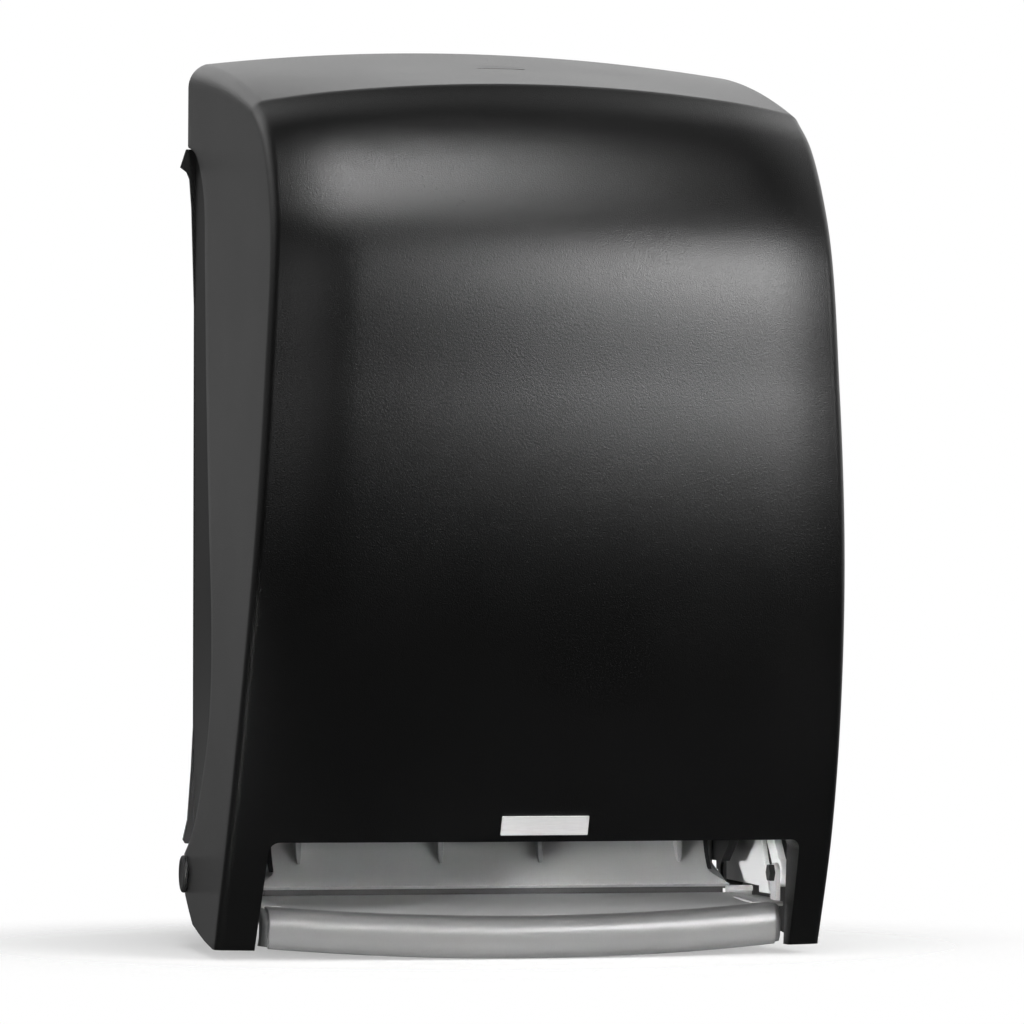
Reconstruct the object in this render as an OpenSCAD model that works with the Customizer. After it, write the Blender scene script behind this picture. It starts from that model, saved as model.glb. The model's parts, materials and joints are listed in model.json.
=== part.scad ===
// Hands-free roll-towel dispenser for a wall.
// X runs across, Y points into the wall (the wall face is Y = 0) and Z points up.
// Depth always means the distance out from the wall, so depth = -Y.

/* [Towel roll] */
// Width of the towel roll
roll_w = 203; // [190:1:215]
// Diameter of a full towel roll
roll_dia = 200; // [170:1:204]
// Height of the roll's axis above the wall pattern's centre
roll_z = 30; // [15:1:40]
// Gap between a full roll and the back plate
roll_rear_gap = 12; // [6:1:16]
// Radius of the hubs that enter the roll's core
hub_r = 18.5; // [14:0.5:20]

/* [Cover outline] */
// Wall of the moulded cover
cover_wall = 2.6; // [2:0.1:3.2]
// Depth of the cover's edge at its feet
foot_depth = 133; // [126:1:140]
// Height of the feet
foot_z = -227.5; // [-236:0.5:-224]
// Depth of the edge at the chin, where the lower slope starts
chin_depth = 164; // [160:1:170]
// Height of the chin
chin_z = -170; // [-173:1:-164]
// Depth of the edge at the belly
belly_depth = 189; // [184:1:196]
// Height of the belly
belly_z = -104; // [-112:1:-96]
// Depth of the edge at the waist
waist_depth = 206; // [200:1:210]
// Height of the waist
waist_z = -33; // [-44:1:-24]
// Depth of the edge at the brow, its deepest point
brow_depth = 211; // [207:1:218]
// Height of the brow
brow_z = 39; // [28:1:48]
// Depth of the edge at the temple, where the forehead starts
temple_depth = 203; // [198:1:207]
// Height of the temple
temple_z = 124; // [116:1:130]
// Depth of the edge on the forehead
forehead_depth = 174; // [168:1:180]
// Height of the forehead point
forehead_z = 164.5; // [160:0.5:168]
// Depth of the edge at the crease between forehead and top
crease_depth = 148; // [142:1:154]
// Height of the crease at the sides
crease_z = 180.5; // [177:0.5:184]
// Height of the top's rear corners
crown_z = 216.5; // [210:0.5:224]
// Forward bow of the front across its width
front_bow = 16; // [8:1:22]
// Part of that bow inside the flatter centre panel
panel_bow = 5; // [2:0.5:6]
// Rise of the top's middle at the crease
crease_rise = 9.5; // [5:0.5:12]
// Rise of the top's middle at the wall
crown_rise = 9; // [5:0.5:14]
// Swell of the top's side edges above a straight line
side_swell = 3; // [0:0.5:4]
// Inward lean of the side walls at the crease, in degrees
lean_top = 3.3; // [2.4:0.1:3.8]
// Inward lean of the side walls at the feet, in degrees
lean_foot = -2; // [-2.6:0.1:0]
// Widening of the cover's rear edge from top to foot, on each side
foot_spread = 1.5; // [0.8:0.1:3]
// Rounding of the front edges
edge_r = 6; // [4.5:0.5:8]
// Rounding of the top edges at the wall
crown_edge_r = 8; // [7:0.5:10]
// Gap between the wall and the cover's rear edge
cover_wall_gap = 1; // [0.6:0.1:2]

/* [Cover cuts] */
// Height of the outlet opening's top edge
opening_z = -176; // [-179:0.5:-175]
// Gap between nose bar and cover legs at the opening's top
opening_gap = 0.6; // [0.5:0.1:1.5]
// Extra half width of the opening at the feet
opening_flare = 2.4; // [1:0.1:3]
// Rounding of the opening's corners
opening_r = 5; // [3:0.5:8]
// Deepest point of the grip cut in the rear edge
grip_depth = 88; // [84:1:90]
// Top end of the grip cut
grip_top = 174; // [173:0.5:176]
// Lower end of the grip cut
grip_low = -187; // [-188:0.5:-186]
// Half width of the key slot
key_half = 12.5; // [9:0.5:14]
// Width of the key slot
key_w = 2.4; // [1.6:0.1:3]
// Depth at which the key slot lies
key_depth = 82; // [78:1:86]

/* [Hinge and latch] */
// Depth of the cover's hinge axis
hinge_depth = 13; // [12.6:0.1:16]
// Height of the cover's hinge axis
hinge_z = -195; // [-197:0.5:-194]
// Swing of the cover to its open stop, in degrees
cover_swing = 65; // [50:1:66]
// Radius of the hinge pins
hinge_r = 4.5; // [3.5:0.1:5]
// Radius of the hinge pins' heads
hinge_head_r = 9.4; // [8:0.1:10]
// Thickness of the hinge pins' heads
hinge_head_t = 2.5; // [2:0.1:3.5]
// Radial play of turning fits
turn_play = 0.06; // [0.03:0.01:0.1]
// Lock stroke of the latch tooth below its open place
latch_stroke = 8; // [6:0.5:9]
// Height of the keeper lip that the latch tooth drops behind
keeper_lip = 6; // [4:0.5:7]

/* [Chassis] */
// Thickness of the back plate
back_t = 3; // [2.5:0.1:4]
// Height of the back plate's top
chassis_top = 172; // [170:1:174]
// Height of the back plate's lower end
chassis_low = -183; // [-186:1:-182]
// Depth of the chassis side walls
tray_depth = 94; // [92:1:98]
// Inward lean of the chassis side walls over their depth
tray_lean = 5.5; // [5:0.5:7]
// Thickness of the chassis side walls
tray_wall = 2.5; // [2:0.1:3]
// Side play between chassis and cover at the wall
chassis_play = 0.6; // [0.5:0.1:2]
// Spacing of the wall screws across
screw_dx = 160; // [120:1:180]
// Spacing of the wall screws up
screw_dz = 200; // [160:1:220]
// Radius of the wall screw holes
screw_hole_r = 3.1; // [2.5:0.1:4]

/* [Feed] */
// Depth of the drive roller's axis
roller_depth = 46; // [44:1:48]
// Height of the drive roller's axis
roller_z = -150; // [-152:1:-148]
// Radius of the rubber drive sleeves
roller_r = 14; // [12:0.5:14.5]
// Radius of the drive shaft
shaft_r = 4; // [3:0.1:5]
// Width of each drive sleeve
sleeve_w = 36; // [24:1:40]
// Radius of the pinch rollers
pinch_r = 8; // [7:0.5:8.5]
// Radius of the pinch shaft
pinch_shaft_r = 2.5; // [2:0.1:3]
// Open gap at the nip
nip_gap = 0.4; // [0.35:0.05:1]
// Gear module
gear_module = 1; // [0.8:0.05:1.02]
// Teeth of the gear on the drive shaft
roller_teeth = 30; // [26:1:30]
// Teeth of the idler's small gear
idler_small = 14; // [13:1:15]
// Teeth of the idler's large gear
idler_large = 32; // [28:1:32]
// Teeth of the motor pinion
pinion_teeth = 12; // [10:1:13]
// Face width of the gears
gear_w = 4; // [3:0.5:4.5]
// Radius of the feed motor
motor_r = 13.5; // [10:0.5:14]
// Length of the feed motor
motor_len = 38; // [30:1:45]

/* [Outlet] */
// Side gap between towel and outlet walls
chute_gap = 10; // [6:1:12]
// Wall of guide and tray
guide_t = 2.5; // [2:0.1:3]
// Depth of the guide's upper edge
guide_top_depth = 54; // [53:0.5:56]
// Depth of the guide's lower edge
guide_low_depth = 68; // [66:0.5:70]
// Height of the guide's lower edge
guide_low_z = -200; // [-202:0.5:-199]
// Width of the paper slot between guide and tray
slot_w = 8; // [6:0.5:9]
// Half width of the nose bar
nose_half = 127.4; // [126:0.1:128]
// Depth of the nose bar at its ends
nose_depth = 139; // [137:1:141]
// Forward bow of the nose bar
nose_bow = 16; // [8:1:18]
// Height of the nose bar's top edge at its ends
nose_z = -207; // [-208.5:0.5:-206.5]
// Dip of the nose bar's middle
nose_dip = 5.3; // [2:0.1:7]
// Height of the nose bar's face
nose_h = 19.6; // [17:0.2:21]

/* [Power and controls] */
// Radius of a battery cell
cell_r = 17.1; // [13:0.1:17.1]
// Length of a battery cell
cell_len = 61.5; // [50:0.5:61.5]
// Wall of the battery and control boxes
box_wall = 2; // [1.6:0.1:2.4]
// Radius of the feed button
button_r = 6; // [4:0.5:7]
// Travel of the feed button
button_travel = 1.5; // [1:0.1:2]
// Travel of the power switch
switch_travel = 5; // [3:0.5:6]

/* [Hidden] */
$fn = 48;

// Colours as the object shows them
black = "#1d1e20";
dark_grey = "#3b3d40";
silver = "#b4b6b8";
light_grey = "#c8c9ca";
steel = "#9ea2a6";
rubber = "#2a2a2b";
white = "#e4e4e0";
board_green = "#1f5a3a";

// Play and overlap used all over
run_gap = 0.4;
seat_sink = 0.6;
through = 2;

// Stack across the width, from the towel out to the cover
chute_half = roll_w / 2 + chute_gap;
plate_in = chute_half + 5;
plate_t = 4.5;
plate_out = plate_in + plate_t;
gear_bay = 2 * gear_w + 5;
cover_side_gap = 8.1;
rear_half_top = plate_out + gear_bay + cover_side_gap + cover_wall;
rear_half_foot = rear_half_top + foot_spread;
chassis_half = rear_half_top - cover_wall - chassis_play;

// Edge of the cover from foot to crease, as depth and height
edge_points = [
    [foot_depth, foot_z], [chin_depth, chin_z], [belly_depth, belly_z], [waist_depth, waist_z],
    [brow_depth, brow_z], [temple_depth, temple_z], [forehead_depth, forehead_z],
    [crease_depth, crease_z]
];
crown_point = [cover_wall_gap, crown_z];
steps = 4;
top_steps = 5;
brow_row = 4 * steps;
temple_row = 5 * steps;
crease_row = 7 * steps;
last_row = crease_row + top_steps;
crease_turn = 66;
edge_sweep = 72;
panel_share = 0.75;
strip_power = 1.25;
rim_run = 6;
side_cols = 3;
arc_cols = 4;
band_cols = 9;
half_cols = side_cols + arc_cols + band_cols;
all_cols = 2 * half_cols + 1;

// Rolls and arms
roll_depth = back_t + roll_rear_gap + roll_dia / 2;
arm_in = roll_w / 2 + 4;
arm_t = 4.5;
arm_pivot_x = arm_in + 6.5;
arm_pivot_depth = 16;
arm_pin_r = 2.5;
arm_knuckle_r = 6;
arm_half_h = 24;
arm_coil_half = 12;
arm_ear_t = 4.6;
stub_r = 5;
stub_len = 12;

// Feed layout
pinch_depth = roller_depth + roller_r + nip_gap + pinch_r;
pinch_pivot = [pinch_depth + 11.6, roller_z + 34];
pinch_trunnion_r = 3;
carrier_half = chute_half - 7;
beam_depth = pinch_depth + pinch_r + 12.6;
beam_t = 4;
pair_play = 0.3;
small_pair = (roller_teeth + idler_small) * gear_module / 2 + pair_play;
large_pair = (pinion_teeth + idler_large) * gear_module / 2 + pair_play;
idler_bearing = 102;
pinion_bearing = 133;
idler_at = [roller_depth, roller_z] + small_pair * [cos(idler_bearing), sin(idler_bearing)];
pinion_at = idler_at + large_pair * [cos(pinion_bearing), sin(pinion_bearing)];
idler_stud_r = 2.5;
pinion_shaft_r = 1.5;
bush_r = 7;
gear_in = plate_out + 1;
frame_top = roller_z + 54;
frame_tip_z = chassis_low - 5.5;
module_depth = beam_depth + beam_t;

// Outlet layout
guide_top_z = roller_z - roller_r - 4;
guide_knee = [guide_top_depth + 2, chassis_low + 1];
tray_rear = guide_low_depth + guide_t + slot_w;
tray_rear_z = guide_low_z - 4;
tray_front_half = nose_half - 9;
opening_half = nose_half + opening_gap;
lip_drop = 14;
wing_t = 2.4;
wing_in = min(chute_half + 1, tray_front_half - 3);
wing_out = plate_out + gear_bay;
wing_depth = [tray_rear + 3.5, tray_rear + 45];
wing_lip = [wing_depth[0], wing_depth[0] + 5];
wing_top = tray_rear_z + 0.4;
lip_top = wing_top + 3.3;
panel_t = 2.5;
strut_t = 4;
strut_in = wing_out;
strut_top = [module_depth - 9, roller_z - 10];
strut_low = [wing_depth[1] - 10, lip_top + 7.3];
strut_boss_r = 6;

// Boxes in front of the feed
box_low = roller_z - cell_r - 0.5 - box_wall;
box_high = roller_z + cell_r + 0.5;
cell_gap = 0.5;
cell_rows = [
    module_depth + box_wall + cell_gap + cell_r,
    module_depth + box_wall + 3 * cell_gap + 3 * cell_r + 1
];
battery_front = cell_rows[1] + cell_r + cell_gap + box_wall;
contact_room = 5;
bay_half = cell_len + contact_room;
battery_mid = 5;
battery_x = [battery_mid - bay_half - box_wall, battery_mid + bay_half + box_wall];
control_x = [-chute_half - 2, battery_x[0] - 3];
control_front = module_depth + 57;
door_t = 2;
door_axis = [module_depth + 1.6, box_high + 3];
door_barrel_r = 1.8;
door_pin_r = 1;
door_lug_r = 2.4;

// Latch layout
roof_fall = crown_z + crown_rise - crease_z - crease_rise;
roof_slope = roof_fall / (crease_depth + front_bow - cover_wall_gap);
latch_depth = key_depth - 12;
latch_z = roof(latch_depth) - 17;
latch_pin_r = 1.5;
latch_half = 5;
latch_ear = 12.5;
latch_ear_t = 3;
latch_ear_run = 8;
tooth_depth = latch_depth - 26;
keeper_front = tooth_depth + 10;
keeper_z = latch_z - 9 - latch_stroke - 1;
keeper_t = 3;
keeper_half = 18;
bumper_r = 3;

// Numbers and points

function lerp(a, b, t) = a + (b - a) * t;
function limit(t) = min(1, max(0, t));
function swell(t) = 4 * t * (1 - t);

// Smooth curve through points, with slopes that suit uneven spacing
function chord(p, i) = norm(p[i + 1] - p[i]);
function step(p, i) = (p[i + 1] - p[i]) / chord(p, i);
function slope(p, i) =
    i == 0 ? step(p, 0)
    : i == len(p) - 1 ? step(p, i - 1)
    : (step(p, i - 1) * chord(p, i) + step(p, i) * chord(p, i - 1)) / (chord(p, i) + chord(p, i - 1));
function bend(a, b, from, to, h, t) =
    a * (2 * t ^ 3 - 3 * t ^ 2 + 1) + from * h * (t ^ 3 - 2 * t ^ 2 + t)
    + b * (3 * t ^ 2 - 2 * t ^ 3) + to * h * (t ^ 3 - t ^ 2);
function curve(p, n) = [
    for (i = [0 : len(p) - 2], k = [0 : n - 1])
        bend(p[i], p[i + 1], slope(p, i), slope(p, i + 1), chord(p, i), k / n),
    p[len(p) - 1]
];
function arc(centre, r, from, to, n) = [
    for (k = [0 : n]) centre + r * [cos(lerp(from, to, k / n)), sin(lerp(from, to, k / n))]
];

// Height of the cover's roof along the middle, on its inner face
function roof(depth) = crown_z + crown_rise - roof_slope * (depth - cover_wall_gap) - cover_wall;

// Half width of the cover's outside at a depth and height
function height_share(z, top) = (z - foot_z) / (top - foot_z);
function side_lean(z) = lerp(lean_foot, lean_top, height_share(z, crease_z));
function half_at(q) =
    lerp(rear_half_foot, rear_half_top, height_share(q[1], crown_z)) - q[0] * tan(side_lean(q[1]));

// Bow of the front across its width, 0 in the middle and 1 at the edge
panel_fall = panel_bow / front_bow;
function bow(s) =
    panel_fall * (s / panel_share) ^ 2
    + (1 - panel_fall / panel_share ^ 2) * (max(0, s - panel_share) / (1 - panel_share)) ^ strip_power;

// Rows of the cover's grid: up the front edge and back along the top
front_rows = curve(edge_points, steps);
top_rows = [
    for (k = [1 : top_steps])
        let (t = k / top_steps)
        lerp(edge_points[7], crown_point, t) + [0, side_swell * swell(t)]
];
rows = concat(front_rows, top_rows);
function top_share(i) = limit((i - crease_row) / top_steps);
function inward(i) =
    let (turn = lerp(crease_turn * limit((i - brow_row) / (crease_row - brow_row)), 90, top_share(i)))
    [-cos(turn), -sin(turn)];
function rise(i) =
    lerp(crease_rise * limit((i - temple_row) / (crease_row - temple_row)), crown_rise, top_share(i))
    - side_swell * swell(top_share(i));
function bow_share(i) = i > crease_row ? rows[i][0] / crease_depth : 1;
function rounding(i) = lerp(edge_r, crown_edge_r, limit((i - temple_row) / (last_row - temple_row)));
function rear_end(i) = [
    cover_wall_gap,
    i > brow_row
        ? lerp(rows[brow_row][1], crown_z - crown_edge_r - rim_run, (i - brow_row) / (last_row - brow_row))
        : rows[i][1]
];
function spot(x, q) = [x, -q[0], q[1]];
// Left half of one row at an inset from the outside, from the rear edge to the middle
function half_row(i, inset) =
    let (
        n = inward(i),
        p = rows[i] + inset * n,
        r = rounding(i) - inset,
        a = rows[i] + rounding(i) * n,
        w = half_at(a) - inset,
        band = w - r * (1 - cos(edge_sweep)),
        base = p + r * (1 - sin(edge_sweep)) * n
    )
    concat(
        [for (k = [0 : side_cols - 1])
            let (q = lerp(rear_end(i), a, k / side_cols))
            spot(inset - half_at(q), q)],
        [for (k = [0 : arc_cols - 1])
            let (t = edge_sweep * k / arc_cols)
            spot(r * (1 - cos(t)) - w, p + r * (1 - sin(t)) * n)],
        [for (k = [0 : band_cols])
            let (s = 1 - k / band_cols)
            spot(-band * s, base + [front_bow * bow_share(i) * (1 - bow(s)), rise(i) * (1 - s ^ 2)])]
    );
function full_row(i, inset) =
    let (left = half_row(i, inset))
    concat(left, [for (k = [half_cols - 1 : -1 : 0]) [-left[k][0], left[k][1], left[k][2]]]);
function quad(a, b, c, d) = [[a, b, c], [a, c, d]];
function flat(list) = [for (part = list, item = part) item];

// Wound wire: one tube along a helix about Z, with straight ends
coil_rings = 8;
wire_sides = 6;
function coil_path(r, pitch, turns, tail) = concat(
    [[r, -tail, 0]],
    [for (k = [0 : turns * coil_rings])
        let (a = 360 * k / coil_rings)
        [r * cos(a), r * sin(a), pitch * k / coil_rings]],
    [[r * cos(360 * turns) , r * sin(360 * turns) + tail, pitch * turns]]
);
function unit(v) = v / norm(v);
function along(path, k) = unit(path[min(k + 1, len(path) - 1)] - path[max(k - 1, 0)]);
function wire_ring(path, k, wire) =
    let (t = along(path, k), u = unit(cross([0, 0, 1], t)), v = cross(t, u))
    [for (j = [0 : wire_sides - 1])
        path[k] + wire * (cos(360 * j / wire_sides) * u + sin(360 * j / wire_sides) * v)];
// Least gap between one turn's centre line and the next, less the wire
function coil_gap(r, pitch, turns, wire) =
    let (path = coil_path(r, pitch, turns, wire))
    min([for (k = [1 : len(path) - coil_rings - 2]) norm(path[k + coil_rings] - path[k])]) - 2 * wire;
arm_coil = [3.6, 1.7, 11, 0.55];
latch_coil = [2.4, 1.3, 4, 0.4];
pinch_coil = [3.9, 1.4, 5, 0.45];
echo(arm_coil_gap = coil_gap(arm_coil[0], arm_coil[1], arm_coil[2], arm_coil[3]));
echo(latch_coil_gap = coil_gap(latch_coil[0], latch_coil[1], latch_coil[2], latch_coil[3]));
echo(pinch_coil_gap = coil_gap(pinch_coil[0], pinch_coil[1], pinch_coil[2], pinch_coil[3]));

// Building blocks

// Box between two limits on each axis: across, depth and height
module block(x, depth, z) {
    translate([x[0], -depth[1], z[0]])
        cube([x[1] - x[0], depth[1] - depth[0], z[1] - z[0]]);
}

// Round bar across the width
module bar(x, at, r) {
    translate([x[0], -at[0], at[1]])
        rotate([0, 90, 0])
            cylinder(h = x[1] - x[0], r = r);
}

// Upright round bar
module post(x, depth, z, r) {
    translate([x, -depth, z[0]])
        cylinder(h = z[1] - z[0], r = r);
}

// Round bar that points out from the wall
module peg(x, depth, z, r) {
    translate([x, -depth[0], z])
        rotate([90, 0, 0])
            cylinder(h = depth[1] - depth[0], r = r);
}

// Plate across x whose outline is drawn as depth and height
module side_plate(x) {
    translate([x[1], 0, 0])
        rotate([90, 0, -90])
            linear_extrude(x[1] - x[0])
                children();
}

// Plate over a range of depth whose outline is drawn as across and height
module front_plate(depth) {
    translate([0, -depth[0], 0])
        rotate([90, 0, 0])
            linear_extrude(depth[1] - depth[0])
                children();
}

// Plate over a range of height whose outline is drawn as across and depth
module floor_plate(z) {
    translate([0, 0, z[0]])
        mirror([0, 1, 0])
            linear_extrude(z[1] - z[0])
                children();
}

module both_sides() {
    children();
    mirror([1, 0, 0])
        children();
}

module disc_at(at, r) {
    translate(at)
        circle(r = r);
}

module coil(form) {
    path = coil_path(form[0], form[1], form[2], 2 * form[3]);
    rings = [for (k = [0 : len(path) - 1]) wire_ring(path, k, form[3])];
    last = len(path) - 1;
    sides = flat([
        for (k = [0 : last - 1], j = [0 : wire_sides - 1])
            let (a = k * wire_sides, n = (j + 1) % wire_sides)
            quad(a + j, a + wire_sides + j, a + wire_sides + n, a + n)
    ]);
    end = last * wire_sides;
    start = [for (j = [1 : wire_sides - 2]) [0, j, j + 1]];
    finish = [for (j = [1 : wire_sides - 2]) [end, end + j + 1, end + j]];
    polyhedron(points = flat(rings), faces = concat(sides, start, finish), convexity = 10);
}

// Spur gear across the width, with slim teeth that leave backlash
module gear(x, at, teeth, turn) {
    pitch_r = teeth * gear_module / 2;
    tip = pitch_r + 0.9 * gear_module;
    root = pitch_r - 1.2 * gear_module;
    share = 360 / teeth;
    side_plate(x)
        translate(at)
            rotate(turn)
                polygon([
                    for (k = [0 : teeth - 1], c = [[root, -0.3], [tip, -0.1], [tip, 0.1], [root, 0.3]])
                        c[0] * [cos(share * (k + c[1])), sin(share * (k + c[1]))]
                ]);
}

// Cover and chassis

module cover_shell() {
    grid = [for (inset = [0, cover_wall], i = [0 : last_row]) each full_row(i, inset)];
    inner = (last_row + 1) * all_cols;
    end = all_cols - 1;
    faces = concat(
        flat([for (j = [0 : end - 1])
            let (t = last_row * all_cols + j)
            concat(quad(j, j + 1, inner + j + 1, inner + j), quad(t + 1, t, inner + t, inner + t + 1))]),
        flat([for (i = [0 : last_row - 1])
            let (a = i * all_cols, b = a + all_cols)
            concat(quad(a + end, b + end, inner + b + end, inner + a + end), quad(b, a, inner + a, inner + b))]),
        flat([for (i = [0 : last_row - 1], j = [0 : end - 1])
            let (a = i * all_cols + j, b = a + all_cols)
            concat(quad(a, b, b + 1, a + 1), quad(inner + a, inner + a + 1, inner + b + 1, inner + b))])
    );
    polyhedron(points = grid, faces = faces, convexity = 6);
}

module outlet_cut() {
    foot = opening_half + opening_flare;
    low = foot_z - through;
    front_plate([foot_depth / 2, brow_depth])
        polygon(concat(
            [[-foot, low], [-opening_half, opening_z - opening_r]],
            arc([opening_r - opening_half, opening_z - opening_r], opening_r, 150, 90, 4),
            arc([opening_half - opening_r, opening_z - opening_r], opening_r, 90, 30, 4),
            [[opening_half, opening_z - opening_r], [foot, low]]
        ));
}

// Long cut in each side's rear edge, with the chassis wall behind it
module grip_cut() {
    reach = rear_half_foot + through;
    d = grip_depth;
    line = curve([
        [-through, grip_top], [0.24 * d, grip_top - 7], [0.45 * d, grip_top - 27], [0.53 * d, grip_top - 66],
        [0.62 * d, grip_top - 121], [0.8 * d, grip_top - 194], [0.97 * d, grip_top - 248],
        [d, grip_low + 91], [0.95 * d, grip_low + 65], [0.79 * d, grip_low + 44], [0.39 * d, grip_low + 14],
        [-through, grip_low]
    ], 3);
    side_plate([-reach, reach])
        polygon(line);
}

// Lower rear corner of each wing, drawn so that the open cover stays clear of the wall
module wing_cut() {
    reach = rear_half_foot + 5 * through;
    hinge = [hinge_depth, hinge_z];
    lug_r = hinge_depth - 0.9;
    down = 180 + cover_swing;
    heel = hinge + lug_r * [cos(down), sin(down)];
    toe = [foot_depth - 13, foot_z];
    sole = curve([
        heel + 30 * [sin(cover_swing), -cos(cover_swing)], [0.5 * toe[0], foot_z + 5.5],
        [0.75 * toe[0], foot_z + 2.2], toe
    ], 3);
    side_plate([-reach, reach])
        polygon(concat(
            [[-through, hinge_z]], arc(hinge, lug_r, 180, down, 6), sole,
            [[toe[0], foot_z - through], [-through, foot_z - through]]
        ));
}

module latch_ears() {
    sides = [latch_depth - latch_ear_run, latch_depth + latch_ear_run];
    both_sides()
        difference() {
            side_plate([latch_ear, latch_ear + latch_ear_t])
                polygon([
                    [sides[0], latch_z - 5], [sides[1], latch_z - 5],
                    [sides[1], roof(sides[1]) + seat_sink], [sides[0], roof(sides[0]) + seat_sink]
                ]);
            bar([latch_ear - 1, latch_ear + latch_ear_t + 1], [latch_depth, latch_z], latch_pin_r);
        }
}

module front_cover() {
    reach = rear_half_foot + 2 * through;
    color(black)
        difference() {
            union() {
                cover_shell();
                latch_ears();
            }
            outlet_cut();
            grip_cut();
            wing_cut();
            bar([-reach, reach], [hinge_depth, hinge_z], hinge_r + turn_play);
            block([-key_half, key_half], [key_depth - key_w / 2, key_depth + key_w / 2],
                [roof(key_depth) - through, roof(key_depth) + cover_wall + 2 * through]);
        }
}

badge_half = 21.3;
badge_h = 10;
badge_t = 1.2;
badge_z = opening_z + 9;

module badge_plate() {
    low = lookup_edge(badge_z - badge_h / 2);
    high = lookup_edge(badge_z + badge_h / 2);
    tilt = atan((high - low) / badge_h);
    mid = max((low + high) / 2, lookup_edge(badge_z)) + front_bow - edge_r * (1 - sin(edge_sweep)) + 0.1;
    color(silver)
        translate([-badge_half, -mid, badge_z])
            rotate([tilt, 0, 0])
                translate([0, -badge_t, -badge_h / 2])
                    cube([2 * badge_half, badge_t, badge_h]);
}

// Depth of the cover's edge at a height on the lower front
function lookup_edge(z) = lookup(z, [for (q = front_rows) [q[1], q[0]]]);

module wall_chassis() {
    half = chassis_half;
    color(black)
        difference() {
            union() {
                block([-half, half], [0, back_t], [chassis_low, chassis_top]);
                both_sides() {
                    chassis_wall();
                    hinge_ear();
                    arm_ears();
                    chassis_lug();
                }
                back_ribs();
                block([-keeper_half, keeper_half], [0, back_t], [chassis_top - 20, keeper_z + 2 * keeper_t]);
            }
            for (x = [-1, 1], z = [-1, 1])
                peg(x * screw_dx / 2, [-through, back_t + 6], z * screw_dz / 2, screw_hole_r);
            both_sides() {
                bar([half - 20, half + 1], [hinge_depth, hinge_z], hinge_r);
                post(arm_pivot_x, arm_pivot_depth, [roll_z - 60, roll_z + 60], arm_pin_r);
            }
            for (x = [-1, 1], z = frame_screw_z)
                peg(x * frame_screw_x, [-through, back_t + 6], z, frame_screw_r);
        }
}

module chassis_wall() {
    intersection() {
        floor_plate([chassis_low, chassis_top])
            polygon([
                [chassis_half, 0], [chassis_half - tray_lean, tray_depth],
                [chassis_half - tray_lean - tray_wall, tray_depth], [chassis_half - tray_wall, 0]
            ]);
        side_plate([chassis_half - 30, chassis_half + 1])
            polygon([
                [0, chassis_low], [0.6 * tray_depth, chassis_low], [tray_depth, chassis_low + 60],
                [tray_depth, 0], [0.84 * tray_depth, chassis_top - 40], [0.72 * tray_depth, chassis_top - 18],
                [0.3 * tray_depth, chassis_top], [0, chassis_top]
            ]);
    }
}

ear_t = 9;

module hinge_ear() {
    side_plate([chassis_half - ear_t, chassis_half])
        union() {
            disc_at([hinge_depth, hinge_z], hinge_r + 5);
            translate([0, hinge_z])
                square([hinge_depth + hinge_r + 5, chassis_low - hinge_z + 4]);
        }
}

module arm_ears() {
    for (side = [-1, 1]) {
        z = roll_z + side * (arm_half_h + run_gap + arm_ear_t / 2);
        floor_plate([z - arm_ear_t / 2, z + arm_ear_t / 2])
            union() {
                disc_at([arm_pivot_x, arm_pivot_depth], arm_knuckle_r + 1);
                translate([arm_pivot_x - arm_knuckle_r - 1, 0])
                    square([2 * arm_knuckle_r + 2, arm_pivot_depth]);
            }
    }
}

lug_reach = 7.2;
lug_t = 3;

// Flares of the chassis edge that fill both ends of the cover's grip cut
module chassis_lug() {
    front_plate([0, lug_t])
        translate([chassis_half, 0])
            union() {
                polygon([
                    [-1, chassis_top], [0.6 * lug_reach, chassis_top], [lug_reach, chassis_top - 9],
                    [0.55 * lug_reach, chassis_top - 11.5], [0.35 * lug_reach, chassis_top - 15],
                    [0.2 * lug_reach, chassis_top - 30], [0, chassis_top - 80], [-1, chassis_top - 80]
                ]);
                polygon([
                    [-1, chassis_low + 3], [0.55 * lug_reach, chassis_low + 3], [0.72 * lug_reach, chassis_low + 5],
                    [0.4 * lug_reach, chassis_low + 15], [0.15 * lug_reach, chassis_low + 40],
                    [0, chassis_low + 62], [-1, chassis_low + 62]
                ]);
            }
}

rib_depth = 5;
rib_t = 2;

module back_ribs() {
    for (x = [-54, 0, 54])
        block([x - rib_t / 2, x + rib_t / 2], [0, back_t + rib_depth], [frame_top + 6, chassis_top - 4]);
    for (z = [-40, roll_z + 50])
        block([-chassis_half + 20, chassis_half - 20], [0, back_t + rib_depth - 1], [z, z + rib_t]);
    for (x = [-1, 1], z = [-1, 1])
        peg(x * screw_dx / 2, [0, back_t + 3], z * screw_dz / 2, screw_hole_r + 4);
}

// Pin that turns the cover's right wing on the chassis ear
module hinge_pin() {
    face = half_at([hinge_depth, hinge_z]) + run_gap;
    color(black) {
        bar([chassis_half - ear_t + 1, face], [hinge_depth, hinge_z], hinge_r);
        bar([face, face + hinge_head_t], [hinge_depth, hinge_z], hinge_head_r);
    }
}

module hinge_pin_right() {
    hinge_pin();
}

module hinge_pin_left() {
    mirror([1, 0, 0])
        hinge_pin();
}

// Latch, drawn open so that the cover can swing

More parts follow.
